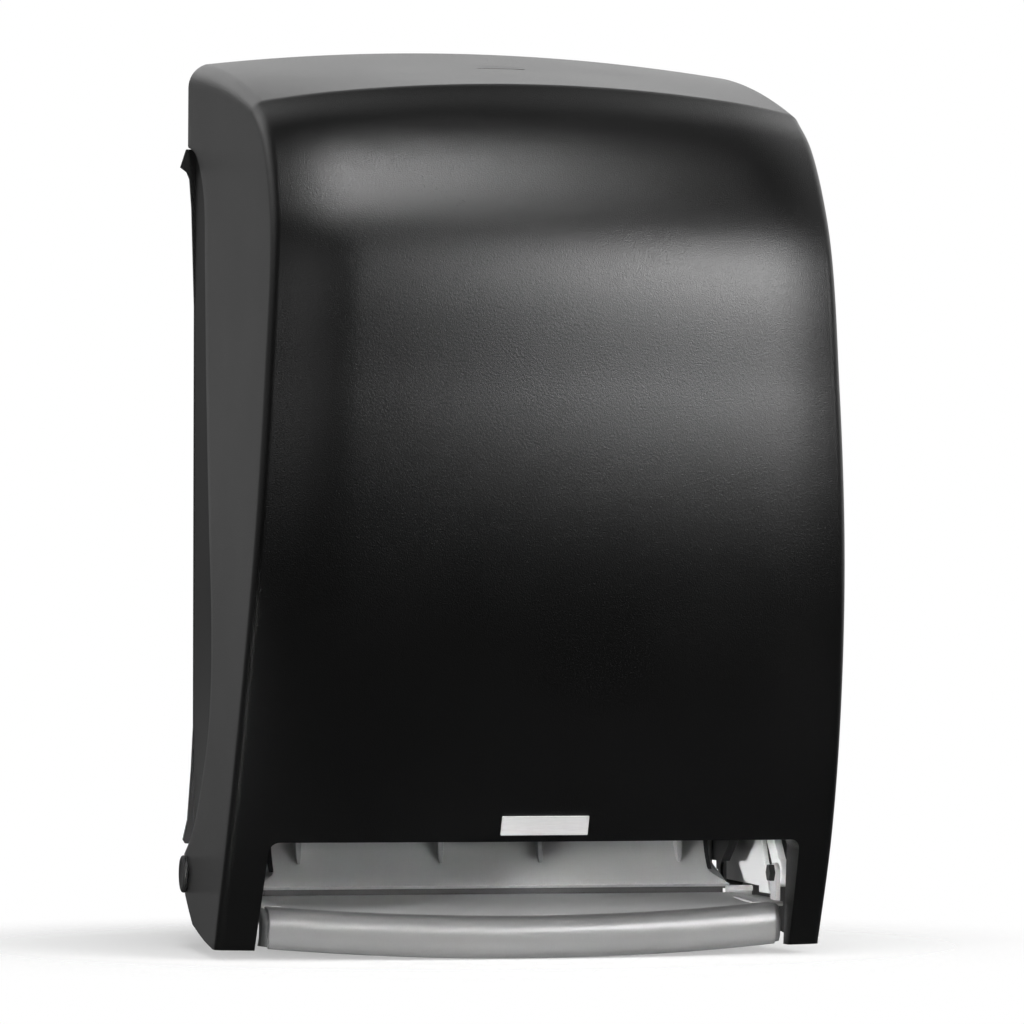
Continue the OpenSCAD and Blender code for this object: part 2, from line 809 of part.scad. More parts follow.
module latch_lever() {
    color(dark_grey)
        difference() {
            union() {
                bar([-latch_half, latch_half], [latch_depth, latch_z], latch_pin_r + 2.5);
                block([-latch_half, latch_half], [tooth_depth - 2, latch_depth], [latch_z - 2, latch_z + 2]);
                block([-latch_half, latch_half], [latch_depth, key_depth + 5], [latch_z - 2, latch_z + 1]);
                block([-latch_half, latch_half], [tooth_depth - 2, tooth_depth + 2], [latch_z - 9, latch_z + 2]);
            }
            bar([-latch_half - 1, latch_half + 1], [latch_depth, latch_z], latch_pin_r + turn_play);
        }
}

// Bracket on the back plate whose lip the latch tooth drops behind
module latch_keeper() {
    across = [-keeper_half, keeper_half];
    lip = [keeper_front - keeper_t, keeper_front];
    color(steel)
        union() {
            block(across, [back_t, back_t + keeper_t], [keeper_z - keeper_t, keeper_z + 2 * keeper_t]);
            block(across, [back_t, keeper_front], [keeper_z - keeper_t, keeper_z]);
            block(across, lip, [keeper_z - keeper_t, keeper_z + keeper_lip]);
            both_sides()
                block([latch_ear - bumper_r, keeper_half], lip, [keeper_z, latch_z + bumper_r]);
        }
}

module latch_pin() {
    color(steel)
        bar([-latch_ear - latch_ear_t, latch_ear + latch_ear_t], [latch_depth, latch_z], latch_pin_r);
}

module latch_spring() {
    color(steel)
        translate([latch_half + 1, -latch_depth, latch_z])
            rotate([0, 90, 0])
                coil(latch_coil);
}

// Roll arms

module roll_arm() {
    z = roll_z;
    rear = arm_half_h - 1;
    color(dark_grey)
        difference() {
            union() {
                side_plate([arm_in, arm_in + arm_t])
                    union() {
                        polygon([
                            [arm_pivot_depth + 2, z - rear], [roll_depth, z - hub_r],
                            [roll_depth, z + hub_r], [arm_pivot_depth + 2, z + rear]
                        ]);
                        disc_at([roll_depth, z], hub_r + 4);
                    }
                post(arm_pivot_x, arm_pivot_depth, [z - arm_half_h, z + arm_half_h], arm_knuckle_r);
                bar([arm_in - stub_len, arm_in + 1], [roll_depth, z], stub_r);
            }
            block([arm_in - 1, arm_pivot_x + 8], [0, arm_pivot_depth + arm_knuckle_r + 2],
                [z - arm_coil_half, z + arm_coil_half]);
            post(arm_pivot_x, arm_pivot_depth, [z - 60, z + 60], arm_pin_r + turn_play);
        }
}

module roll_arm_right() {
    roll_arm();
}

module roll_arm_left() {
    mirror([1, 0, 0])
        roll_arm();
}

// Plug that carries one end of the roll's core and turns with it
module roll_hub() {
    at = [roll_depth, roll_z];
    flange = arm_in - 0.5;
    color(white)
        difference() {
            union() {
                bar([flange - 2, flange], at, hub_r + 5);
                bar([flange - 10, flange - 2], at, hub_r);
                translate([flange - 10, -at[0], at[1]])
                    rotate([0, -90, 0])
                        cylinder(h = 5, r1 = hub_r, r2 = hub_r - 4);
            }
            bar([arm_in - stub_len - 0.5, flange + 1], at, stub_r + turn_play);
        }
}

module roll_hub_right() {
    roll_hub();
}

module roll_hub_left() {
    mirror([1, 0, 0])
        roll_hub();
}

module arm_pins() {
    reach = arm_half_h + run_gap + arm_ear_t;
    color(steel)
        both_sides() {
            post(arm_pivot_x, arm_pivot_depth, [roll_z - reach, roll_z + reach], arm_pin_r);
            post(arm_pivot_x, arm_pivot_depth, [roll_z + reach, roll_z + reach + 1.5], arm_pin_r + 2);
        }
}

module arm_spring() {
    color(steel)
        translate([arm_pivot_x, -arm_pivot_depth, roll_z - arm_coil[1] * arm_coil[2] / 2])
            coil(arm_coil);
}

module arm_spring_right() {
    arm_spring();
}

module arm_spring_left() {
    mirror([1, 0, 0])
        arm_spring();
}

// Feed module

frame_screw_x = 90;
frame_screw_z = [roller_z + 30, roller_z - 22];
frame_screw_r = 2;

module frame_plate() {
    side_plate([plate_in, plate_out])
        polygon([
            [back_t, chassis_low], [back_t, frame_top], [roller_depth + 16, frame_top],
            [module_depth, roller_z + 26], [module_depth, roller_z - 20], [strut_top[0], roller_z - 30],
            [guide_low_depth + 2, frame_tip_z], [guide_top_depth - 9, frame_tip_z],
            [guide_top_depth - 14, chassis_low]
        ]);
}

module drive_frame() {
    inside = [-plate_in, plate_in];
    color(black)
        difference() {
            union() {
                both_sides()
                    frame_plate();
                block(inside, [back_t, back_t + 3], [chassis_low, roller_z + 38]);
                block(inside, [beam_depth, module_depth], [box_low, roller_z + 14]);
            }
            both_sides() {
                bar([plate_in - 1, plate_out + 1], [roller_depth, roller_z], bush_r);
                bar([plate_in - 1, plate_out + 1], pinch_pivot, pinch_trunnion_r + turn_play);
                bar([plate_in - 1, plate_out + 1], strut_top, tray_screw_r);
            }
            bar([plate_in - 1, plate_out + 1], pinion_at, 4);
            bar([plate_in - 1, plate_out + 1], idler_at, idler_stud_r);
            for (x = [-1, 1], z = frame_screw_z)
                peg(x * frame_screw_x, [0, back_t + 4], z, frame_screw_r);
        }
}

module drive_shaft() {
    color(steel)
        bar([-plate_out - 1, gear_in + gear_w + 0.5], [roller_depth, roller_z], shaft_r);
}

sleeve_mids = [sleeve_w / 2 + 8, 1.5 * sleeve_w + 22];

module drive_sleeves() {
    color(rubber)
        both_sides()
            for (mid = sleeve_mids)
                difference() {
                    bar([mid - sleeve_w / 2, mid + sleeve_w / 2], [roller_depth, roller_z], roller_r);
                    bar([mid - sleeve_w / 2 - 1, mid + sleeve_w / 2 + 1], [roller_depth, roller_z], shaft_r);
                }
}

module shaft_bushings() {
    at = [roller_depth, roller_z];
    color(white)
        both_sides()
            difference() {
                union() {
                    bar([plate_in, plate_out], at, bush_r);
                    bar([plate_in - 1.5, plate_in], at, bush_r + 2);
                }
                bar([plate_in - 3, plate_out + 1], at, shaft_r + turn_play);
            }
}

module pinch_carrier() {
    arm = [carrier_half - 4, carrier_half];
    at = [pinch_depth, roller_z];
    color(dark_grey)
        difference() {
            union() {
                bar([-plate_out, plate_out], pinch_pivot, pinch_trunnion_r);
                block([-carrier_half, carrier_half], [pinch_pivot[0] - 4, pinch_pivot[0] + 4],
                    [pinch_pivot[1] - 4, pinch_pivot[1] + 4]);
                both_sides()
                    side_plate(arm)
                        union() {
                            disc_at(at, 5.5);
                            polygon([at + [-5, 1], at + [5, -1], pinch_pivot + [4, 0], pinch_pivot + [-4, 0]]);
                        }
            }
            bar([-carrier_half - 1, carrier_half + 1], at, pinch_shaft_r + turn_play);
        }
}

module pinch_shaft() {
    color(steel)
        bar([-carrier_half - 1.5, carrier_half + 1.5], [pinch_depth, roller_z], pinch_shaft_r);
}

module pinch_rollers() {
    color(white)
        both_sides()
            for (mid = sleeve_mids)
                difference() {
                    bar([mid - sleeve_w / 2 + 1, mid + sleeve_w / 2 - 1], [pinch_depth, roller_z], pinch_r);
                    bar([mid - sleeve_w / 2, mid + sleeve_w / 2], [pinch_depth, roller_z], pinch_shaft_r);
                }
}

module pinch_springs() {
    color(steel)
        both_sides()
            translate([carrier_half + 1, -pinch_pivot[0], pinch_pivot[1]])
                rotate([0, 90, 0])
                    coil(pinch_coil);
}

// Gears on the right end plate

module roller_gear() {
    color(white)
        difference() {
            gear([gear_in, gear_in + gear_w], [roller_depth, roller_z], roller_teeth, 0);
            bar([gear_in - 1, gear_in + gear_w + 1], [roller_depth, roller_z], shaft_r);
        }
}

// Turn that puts a gear's tooth space on a tooth of the gear that drives it
function mesh_turn(at, turn, teeth, own) = at + 180 - (teeth / own) * (turn - at) - 180 / own;
idler_turn = mesh_turn(idler_bearing, 0, roller_teeth, idler_small);
pinion_turn = mesh_turn(pinion_bearing, idler_turn, idler_large, pinion_teeth);

module idler_gear() {
    outer = gear_in + gear_w + 1;
    color(white)
        difference() {
            union() {
                gear([gear_in, gear_in + gear_w + 1], idler_at, idler_small, idler_turn);
                gear([outer, outer + gear_w], idler_at, idler_large, idler_turn);
            }
            bar([gear_in - 1, outer + gear_w + 1], idler_at, idler_stud_r + turn_play);
        }
}

module idler_stud() {
    color(steel)
        bar([plate_in, gear_in + 2 * gear_w + 1.5], idler_at, idler_stud_r);
}

module motor_pinion() {
    outer = gear_in + gear_w + 1;
    color(steel)
        union() {
            gear([outer, outer + gear_w], pinion_at, pinion_teeth, pinion_turn);
            bar([plate_in - 6, outer + gear_w], pinion_at, pinion_shaft_r);
        }
}

module feed_motor() {
    color(steel)
        difference() {
            union() {
                bar([plate_in - motor_len, plate_in], pinion_at, motor_r);
                bar([plate_in - motor_len - 3, plate_in - motor_len], pinion_at, 5);
            }
            bar([plate_in - 7, plate_in + 1], pinion_at, pinion_shaft_r + turn_play);
        }
}

cover_lid = 1.6;
gear_margin = 2.4;

module gear_outline(grow) {
    hull() {
        disc_at([roller_depth, roller_z], roller_teeth * gear_module / 2 + grow);
        disc_at(idler_at, idler_large * gear_module / 2 + grow);
        disc_at(pinion_at, pinion_teeth * gear_module / 2 + grow);
    }
}

module gear_cover() {
    rim = [plate_out, gear_in + 2 * gear_w + 2];
    color(black)
        difference() {
            side_plate([rim[0], rim[1] + cover_lid])
                gear_outline(gear_margin + cover_lid);
            side_plate([rim[0] - 1, rim[1]])
                gear_outline(gear_margin);
        }
}

// Outlet

rib_xs = [-96, -25, 25, 96];

// Guide: a wall that leans forward to a sharp edge, with a lip down into the paper slot
module guide_outline() {
    polygon([
        [guide_top_depth - guide_t, guide_top_z], [guide_top_depth, guide_top_z], guide_knee + [guide_t / 2, 0],
        [guide_low_depth + guide_t, guide_low_z], [guide_low_depth, guide_low_z - 1.5],
        [guide_low_depth, guide_low_z - lip_drop], [guide_low_depth - guide_t, guide_low_z - lip_drop],
        [guide_low_depth - guide_t, guide_low_z], guide_knee + [-guide_t, -guide_t / 2]
    ]);
}

module paper_guide() {
    tab_z = [frame_tip_z + 0.5, guide_top_z];
    color(silver)
        union() {
            side_plate([-chute_half, chute_half])
                guide_outline();
            both_sides()
                block([chute_half, plate_in], [guide_top_depth - guide_t, guide_top_depth], tab_z);
            for (x = rib_xs)
                side_plate([x - 1.7, x + 1.7])
                    polygon([
                        [guide_top_depth, guide_top_z], [guide_top_depth + 5, guide_top_z],
                        guide_knee + [4.5, -5], guide_knee + [6, -8.5], guide_knee + [guide_t / 2, 0]
                    ]);
        }
}

// Front of the nose bar in plan, bowed and drawn in at its ends
function nose_front(s) = nose_depth + nose_bow * (1 - s ^ 2) - 7 * max(0, (abs(s) - 0.94) / 0.06) ^ 2;
function nose_top(s) = nose_z - nose_dip * (1 - s ^ 2);
nose_cols = 24;
function nose_section(s) =
    let (f = nose_front(s), t = nose_top(s), h = nose_h)
    [
        [f - 14, t + 0.6], [f - 8, t], [f - 3.6, t - 1.6], [f - 1, t - 5], [f, t - 0.5 * h],
        [f - 0.8, t - 0.85 * h], [f - 3, t - h], [f - 7, t - h],
        [f - 3.4, t - 0.8 * h], [f - 2.6, t - 0.5 * h], [f - 3.6, t - 6], [f - 5.4, t - 3.7],
        [f - 8.6, t - 2.5], [f - 14, t - 1.9]
    ];

module nose_bar() {
    stations = [for (k = [0 : nose_cols]) sin(lerp(-90, 90, k / nose_cols))];
    n = len(nose_section(0));
    points = [for (s = stations, q = nose_section(s)) spot(nose_half * s, q)];
    sides = flat([
        for (k = [0 : nose_cols - 1], j = [0 : n - 1])
            let (a = k * n, m = (j + 1) % n)
            quad(a + j, a + n + j, a + n + m, a + m)
    ]);
    color(silver)
        polyhedron(
            points = points,
            faces = concat(sides, [[for (j = [0 : n - 1]) j], [for (j = [n - 1 : -1 : 0]) nose_cols * n + j]]),
            convexity = 6
        );
}

// Floor of the outlet: wider and lower towards the nose
module scoop_tray() {
    cols = 16;
    function front(s) = nose_front(s * tray_front_half / nose_half) - 14;
    function front_z(s) = nose_top(s * tray_front_half / nose_half) + 0.6;
    stations = [for (k = [0 : cols]) lerp(-1, 1, k / cols)];
    points = [
        for (s = stations)
            each [
                spot(s * chute_half, [tray_rear, tray_rear_z]),
                spot(s * tray_front_half, [front(s), front_z(s)]),
                spot(s * tray_front_half, [front(s), front_z(s) - guide_t]),
                spot(s * chute_half, [tray_rear, tray_rear_z - guide_t])
            ]
    ];
    sides = flat([
        for (k = [0 : cols - 1], j = [0 : 3])
            let (a = k * 4, m = (j + 1) % 4)
            quad(a + j, a + 4 + j, a + 4 + m, a + m)
    ]);
    ends = concat(quad(0, 1, 2, 3), quad(cols * 4 + 3, cols * 4 + 2, cols * 4 + 1, cols * 4));
    color(silver)
        difference() {
            union() {
                polyhedron(points = points, faces = concat(sides, ends), convexity = 4);
                both_sides()
                    tray_wing();
            }
            both_sides()
                bar([strut_in - 4, strut_in + 1], strut_low, tray_screw_r);
        }
}

// Low floor beside the scoop, with a raised rear lip and the lug of the strut
module tray_wing() {
    floor_z = wing_top - wing_t;
    block([wing_in, wing_out], wing_depth, [floor_z, wing_top]);
    block([wing_in, wing_out], wing_lip, [floor_z, lip_top]);
    side_plate([wing_out - panel_t, wing_out])
        union() {
            disc_at(strut_low, 5);
            translate([strut_low[0] - 4, floor_z])
                square([8, strut_low[1] - floor_z]);
        }
}

// Light panel beside the outlet, standing on the tray's wing
module side_panel() {
    x = [wing_out - panel_t, wing_out];
    top = opening_z + 4;
    color(white)
        side_plate(x)
            polygon([
                [wing_lip[0] - 58, top], [wing_lip[0] - 58, lip_top + 1],
                [wing_lip[0], lip_top], [wing_lip[1], lip_top], [wing_lip[1], wing_top],
                [strut_low[0] - 7, wing_top], [strut_low[0] - 24, top]
            ]);
}

module side_panel_right() {
    side_panel();
}

module side_panel_left() {
    mirror([1, 0, 0])
        side_panel();
}

module tray_arm() {
    run = strut_low - strut_top;
    across = 5.5 * [-run[1], run[0]] / norm(run);
    color(light_grey)
        difference() {
            union() {
                side_plate([strut_in, strut_in + strut_t])
                    union() {
                        disc_at(strut_top, 8);
                        disc_at(strut_low, 7);
                        polygon([strut_top + across, strut_low + across, strut_low - across, strut_top - across]);
                    }
                bar([plate_out, strut_in], strut_top, strut_boss_r);
            }
            for (at = [strut_top, strut_low])
                bar([plate_out - 1, strut_in + strut_t + 1], at, tray_screw_r);
        }
}

module tray_arm_right() {
    tray_arm();
}

module tray_arm_left() {
    mirror([1, 0, 0])
        tray_arm();
}

tooth_pitch = 4;

module tear_bar() {
    half = tooth_pitch * floor((chute_half - 4) / tooth_pitch);
    n = 2 * half / tooth_pitch;
    top = tray_rear_z - guide_t - 1.1;
    color(steel)
        floor_plate([top - 1, top])
            polygon(concat(
                [[half, tray_rear + 8], [-half, tray_rear + 8]],
                [for (k = [0 : n - 1], c = [[0, 0], [0.5, -2]])
                    [-half + tooth_pitch * (k + c[0]), tray_rear + 2 + c[1]]],
                [[half, tray_rear + 2]]
            ));
}

sensor_half = 60;
sensor_z = nose_z - nose_dip - 9;
sensor_depth = [tray_rear + 20, nose_depth - 8];
pan_t = 2;
pan_depth = [tray_rear + 9.5, nose_depth - 6];
pan_low = nose_z - nose_h - 0.5;
pan_top = tray_rear_z - guide_t - 1.6;

module sensor_board() {
    color(board_green)
        block([-sensor_half, sensor_half], sensor_depth, [sensor_z, sensor_z + 1.6]);
}

// Pan that closes the tray from below and carries the sensor board
module tray_underside() {
    color(black)
        union() {
            block([-chute_half, chute_half], pan_depth, [pan_low, pan_low + pan_t]);
            block([-chute_half, chute_half], [pan_depth[0], pan_depth[0] + pan_t], [pan_low, pan_top]);
            both_sides()
                side_plate([chute_half - pan_t, chute_half])
                    polygon([
                        [pan_depth[0], pan_low], [pan_depth[1], pan_low], [pan_depth[1] - 10, nose_z - guide_t - 1],
                        [pan_depth[0], pan_top]
                    ]);
            for (x = [-1, 1], depth = [sensor_depth[0] + 5, sensor_depth[1] - 5])
                post(x * (sensor_half - 10), depth, [pan_low + pan_t - 0.1, sensor_z], 3);
        }
}

// Controls and power

module control_box() {
    color(dark_grey)
        difference() {
            block(control_x, [module_depth, control_front], [box_low, box_high]);
            block([control_x[0] + box_wall, control_x[1] - box_wall],
                [module_depth + box_wall, control_front - box_wall], [box_low - 1, box_high - box_wall]);
            post(button_at[0], button_at[1], [box_high - 10, box_high + 1], button_r + run_gap);
            block([switch_at[0] - 4, switch_at[0] + 4 + switch_travel],
                [switch_at[1] - 3 - run_gap, switch_at[1] + 3 + run_gap], [box_high - 10, box_high + 1]);
        }
}

control_mid = (control_x[0] + control_x[1]) / 2;
button_at = [control_mid, control_front - 16];
switch_at = [control_mid - 3, module_depth + 16];
board_z = box_high - 14;

module control_board() {
    color(board_green)
        block([control_x[0] + box_wall, control_x[1] - box_wall],
            [module_depth + box_wall, control_front - box_wall], [board_z - 1.6, board_z]);
}

module feed_button() {
    color(light_grey)
        union() {
            post(button_at[0], button_at[1], [box_high - 6, box_high + 2.5], button_r);
            post(button_at[0], button_at[1], [board_z + button_travel + 0.4, box_high - 6], 2.5);
            post(button_at[0], button_at[1], [box_high - box_wall - 2, box_high - box_wall - run_gap],
                button_r + 1.5);
        }
}

module power_switch() {
    color(light_grey)
        union() {
            block([switch_at[0] - 3.6, switch_at[0] + 3.6], [switch_at[1] - 3, switch_at[1] + 3],
                [board_z + 0.4, box_high + 2]);
            block([switch_at[0] - 6, switch_at[0] + 6], [switch_at[1] - 5, switch_at[1] + 5],
                [box_high - box_wall - 2, box_high - box_wall - run_gap]);
        }
}

module battery_box() {
    inside = [battery_x[0] + box_wall, battery_x[1] - box_wall];
    color(dark_grey)
        union() {
            difference() {
                block(battery_x, [module_depth, battery_front], [box_low, box_high]);
                block(inside, [module_depth + box_wall, battery_front - box_wall], [box_low + box_wall, box_high + 1]);
            }
            block(inside, [cell_rows[0] + cell_r + cell_gap, cell_rows[1] - cell_r - cell_gap],
                [box_low + box_wall - 0.1, roller_z - 4]);
            for (x = battery_x)
                door_lug(x);
        }
}

module door_lug(x) {
    side = x > battery_mid ? [x - 4, x] : [x, x + 4];
    difference() {
        union() {
            block(side, [module_depth, door_axis[0] + door_lug_r], [box_high - 1, door_axis[1]]);
            bar(side, door_axis, door_lug_r);
        }
        bar([side[0] - 1, side[1] + 1], door_axis, door_pin_r);
    }
}

module battery_cells() {
    color("#c9b37a")
        for (depth = cell_rows, side = [-1, 1]) {
            start = battery_mid + (side < 0 ? -cell_len : 0);
            bar([start + 0.2, start + cell_len - 2.2], [depth, roller_z], cell_r);
            bar([start + cell_len - 2.2, start + cell_len - 0.2], [depth, roller_z], 5);
        }
}

module battery_contacts() {
    color(steel)
        for (depth = cell_rows, side = [-1, 1]) {
            wall = battery_mid + side * bay_half;
            face = battery_mid + side * cell_len;
            block([min(wall, wall - side), max(wall, wall - side)], [depth - 8, depth + 8],
                [roller_z - 10, roller_z + 10]);
            bar([min(wall - side, face + side * 0.4), max(wall - side, face + side * 0.4)], [depth, roller_z], 4);
        }
}

module battery_door() {
    x = [battery_x[0] + 4.4, battery_x[1] - 4.4];
    color(dark_grey)
        difference() {
            union() {
                block(battery_x, [door_axis[0] + 3, battery_front], [box_high + 0.3, box_high + 0.3 + door_t]);
                block(x, [door_axis[0], door_axis[0] + 3.5], [door_axis[1] - 1.6, door_axis[1] + 0.2]);
                bar(x, door_axis, door_barrel_r);
            }
            bar([x[0] - 1, x[1] + 1], door_axis, door_pin_r + turn_play);
        }
}

module door_pin() {
    color(steel)
        bar(battery_x, door_axis, door_pin_r);
}

// Fasteners and stops

tray_screw_r = 2;

module tray_screws() {
    head = strut_in + strut_t;
    color(black)
        both_sides() {
            for (at = [strut_top, strut_low])
                bar([head, head + 2.6], at, 5);
            bar([plate_in, head], strut_top, tray_screw_r);
            bar([strut_in - panel_t, head], strut_low, tray_screw_r);
        }
}

module frame_screws() {
    color(steel)
        for (x = [-1, 1], z = frame_screw_z) {
            peg(x * frame_screw_x, [0.4, back_t + 3], z, frame_screw_r);
            peg(x * frame_screw_x, [back_t + 3, back_t + 5], z, frame_screw_r + 2);
        }
}

// Stops that the latch ears meet when the cover closes
module cover_bumpers() {
    face = latch_depth - latch_ear_run - run_gap;
    color(rubber)
        for (x = [-1, 1])
            peg(x * (latch_ear + latch_ear_t / 2), [keeper_front, face], latch_z - 1, bumper_r);
}

wall_chassis();
front_cover();
badge_plate();
hinge_pin_left();
hinge_pin_right();
latch_lever();
latch_pin();
latch_spring();
latch_keeper();
roll_arm_left();
roll_arm_right();
roll_hub_left();
roll_hub_right();
arm_pins();
arm_spring_left();
arm_spring_right();
drive_frame();
drive_shaft();
drive_sleeves();
shaft_bushings();
pinch_carrier();
pinch_shaft();
pinch_rollers();
pinch_springs();
roller_gear();
idler_gear();
idler_stud();
motor_pinion();
feed_motor();
gear_cover();
paper_guide();
scoop_tray();
nose_bar();
tray_arm_left();
tray_arm_right();
side_panel_left();
side_panel_right();
tear_bar();
sensor_board();
tray_underside();
control_box();
control_board();
feed_button();
power_switch();
battery_box();
battery_cells();
battery_contacts();
battery_door();
door_pin();
frame_screws();
tray_screws();
cover_bumpers();
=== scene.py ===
import json
import math

import bmesh
import bpy
import numpy as np
from mathutils import Matrix, Vector


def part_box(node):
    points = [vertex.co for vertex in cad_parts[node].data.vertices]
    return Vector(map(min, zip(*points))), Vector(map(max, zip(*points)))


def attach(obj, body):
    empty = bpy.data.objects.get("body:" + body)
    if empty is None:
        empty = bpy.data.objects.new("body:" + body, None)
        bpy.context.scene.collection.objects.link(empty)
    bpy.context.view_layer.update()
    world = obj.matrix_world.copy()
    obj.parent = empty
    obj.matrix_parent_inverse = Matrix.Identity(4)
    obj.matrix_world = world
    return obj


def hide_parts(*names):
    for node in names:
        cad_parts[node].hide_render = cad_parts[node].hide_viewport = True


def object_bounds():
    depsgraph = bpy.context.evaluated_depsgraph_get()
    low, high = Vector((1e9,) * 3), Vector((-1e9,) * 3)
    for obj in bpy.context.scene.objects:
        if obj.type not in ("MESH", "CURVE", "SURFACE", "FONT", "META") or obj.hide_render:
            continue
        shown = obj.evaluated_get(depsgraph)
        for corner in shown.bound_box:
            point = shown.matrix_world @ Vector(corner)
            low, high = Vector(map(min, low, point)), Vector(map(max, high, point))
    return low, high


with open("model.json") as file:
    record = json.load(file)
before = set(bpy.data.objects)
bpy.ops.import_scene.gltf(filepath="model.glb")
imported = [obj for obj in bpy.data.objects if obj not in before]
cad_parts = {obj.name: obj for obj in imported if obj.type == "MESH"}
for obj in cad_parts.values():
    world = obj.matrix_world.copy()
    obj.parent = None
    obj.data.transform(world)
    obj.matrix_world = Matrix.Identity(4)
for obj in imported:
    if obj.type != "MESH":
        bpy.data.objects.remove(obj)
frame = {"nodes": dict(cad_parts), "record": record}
cad_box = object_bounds()

# Sizes of the part are in millimetres: across from the middle, depth out from the wall, and height.
MM = 0.001
WELD, FINE_WELD = 1e-6, 1e-7
# Angles in degrees past which an edge is shaded sharp, is rounded, and is rounded on a sheet's rim
SHARP, EDGE_SHARP, RIM_SHARP, RIM_SEGMENTS = 40, 35, 50, 3
ROUND_STEPS = 17

# Hood: its front edge from foot to crease, then its crown. Rows are numbered along these points.
HOOD_EDGE = [
    (133, -227.5), (164, -170), (189, -104), (206, -33),
    (210.8, 39), (203, 124), (174, 164.5), (148, 180.5),
]
CROWN = (1, 216.5)
BROW, TEMPLE, CREASE = 4, 5, 7
FOOT_Z, CROWN_Z = HOOD_EDGE[0][1], CROWN[1]
CREASE_DEPTH, CREASE_Z = HOOD_EDGE[-1]
FRONT_BOW, PANEL_BOW, PANEL_SHARE, STRIP_POWER = 16, 5, 0.72, 2
CREASE_RISE, CROWN_RISE, SIDE_SWELL = 9.5, 9, 3
LEAN_TOP, LEAN_FOOT = 3.3, -2
REAR_HALF_TOP, REAR_HALF_FOOT = 144.7, 146.2
EDGE_R, CREASE_EDGE_R, CROWN_EDGE_R = 7.4, 7.8, 13
EDGE_SWEEP, CREASE_TURN = math.radians(72), math.radians(66)
HOOD_WALL, HOOD_RIM, HOOD_SHARP = 2.6, 0.7, 60
SIDE_COLS, ARC_COLS, LEG_COLS, PANEL_COLS = 16, 9, 5, 29
FRONT_ROWS, ROOF_ROWS, FINE_ROWS, ROW_GAP = 99, 49, 2001, 0.008

# Rear edge of the hood's sides: sole, lug round the hinge, grip cut, and the straight edge above it
HINGE, HINGE_SWING = (13, -195), math.radians(65)
LUG_R = HINGE[0] - 0.9
REAR_GAP, REAR_TOP_GAP = 1, 6
TOE = (120, FOOT_Z)
SOLE_RISE, SOLE_END = [(0.75, 2.2), (0.5, 5.5)], 30
SOLE_STEPS, LUG_STEPS, GRIP_STEPS = 8, 9, 10
GRIP_LINE = [
    (-2, 174), (21.1, 167), (39.6, 147), (46.6, 108), (54.6, 53), (70.4, -20),
    (85.4, -74), (88, -96), (83.6, -122), (69.5, -143), (34.3, -173), (-2, -187),
]
# Where rows start on the rear edge: by their height on the front edge, and by number above the brow
REAR_BY_HEIGHT = [
    (-211, (60, -222)), (-202, (35, -218.6)), (-195, (7.9, -206)), (-188, (1, -195)),
    (-181, (1, -186)), (-166, (34.3, -173)), (-140, (69.5, -143)), (-120, (83.6, -122)),
    (-96, (88, -96)), (-74, (85.4, -74)), (-20, (70.4, -20)),
]
REAR_BY_ROW = [
    (4.15, (54.6, 53)), (4.8, (46.6, 108)), (5.5, (39.6, 147)),
    (6.1, (21.1, 167)), (6.6, (1, 173)), (8, (1, 202.5)),
]

# Outlet opening with its return flange, and key slot with the dish behind it
OPENING_Z, OPENING_HALF, OPENING_R, CORNER_STEPS = -175, 130.6, 5, 6
OPENING_FLARE, FLARE_LENGTH = 2.2, 48.5
FLANGE_LOW, FLANGE_HIGH, FLANGE_TOP, FLANGE_BLEND = 10, 22, 5, 12
KEY_HALF, KEY_MID, KEY_DEPTH, KEY_W = 12.5, 6, 82, 3.2
DISH_HALF, DISH_LENGTH, DISH_DROP = 17, 13, 0.35

# Nose bar. Its section: depth behind the front, drop from the top, and drop as a share of the height.
NOSE_HALF, NOSE_DEPTH, NOSE_BOW = 129.6, 139, 16
NOSE_Z, NOSE_DIP, NOSE_H = -207, 5.3, 19.6
NOSE_END, NOSE_END_R, CAP_INSET = 0.973, 4, 0.9
NOSE_RIM, NOSE_SHARP, CAP_RIM, CAP_SHARP = 0.7, 40, 0.3, 50
NOSE_STATIONS, CAP_STATIONS = 97, (1.2, 0.75, 0.5, 0.28, 0.12, 0.03, 0)
NOSE_FACE_STEPS, NOSE_BACK_STEPS = 6, 3
NOSE_FACE = [
    (14, -0.6, 0), (8, 0, 0), (3.4, 1.3, 0), (0.7, 4.2, 0),
    (0, 0, 0.34), (0.7, 0, 0.62), (2, 0, 0.88), (3.8, 0, 1),
]
NOSE_BACK = [
    (7, 0, 1), (3.4, 0, 0.8), (2.6, 0, 0.5), (3.6, 6, 0), (5.4, 3.7, 0), (8.6, 2.5, 0), (14, 1.9, 0),
]

# Guide with its end tabs, lip, black end strips that paint the shaded gaps at its ends, and stripper ribs
# (height, half width, back and front)
GUIDE_HALF, GUIDE_FOOT, GUIDE_FLARE_Z, GUIDE_STATIONS = 110.8, 121, -193.5, 33
GUIDE_RIM, LIP_RIM, SHADE_STRIP_RIM, RIB_RIM = 0.3, 0.4, 0.3, 0.35
GUIDE_STEPS = 12
GUIDE_FACE = [(54, -168), (57.2, -182), (70.5, -200)]
GUIDE_BACK = [(68.4, -201.4), (65.5, -200), (53.5, -183.3), (51.5, -168)]
TAB_X, TAB_DEPTH, TAB_Z = (GUIDE_HALF - 1, 116.4), (51.5, 53), (-194, -168)
LIP_HALF, LIP_DEPTH, LIP_Z = GUIDE_FOOT - 3, (65.5, 68), (-214, -200.8)
SHADE_STRIP_W, SHADE_STRIP_DEEP = 2.4, 4
RIB_X, RIB_TAPER = (-98, -26, 25, 97), 0.8
RIB_STATIONS = [
    (-168, 2.1, 53.5, 61.5), (-180, 1.8, 56, 62), (-185, 1.5, 58.4, 62.2), (-189, 0.9, 61, 62.4),
]

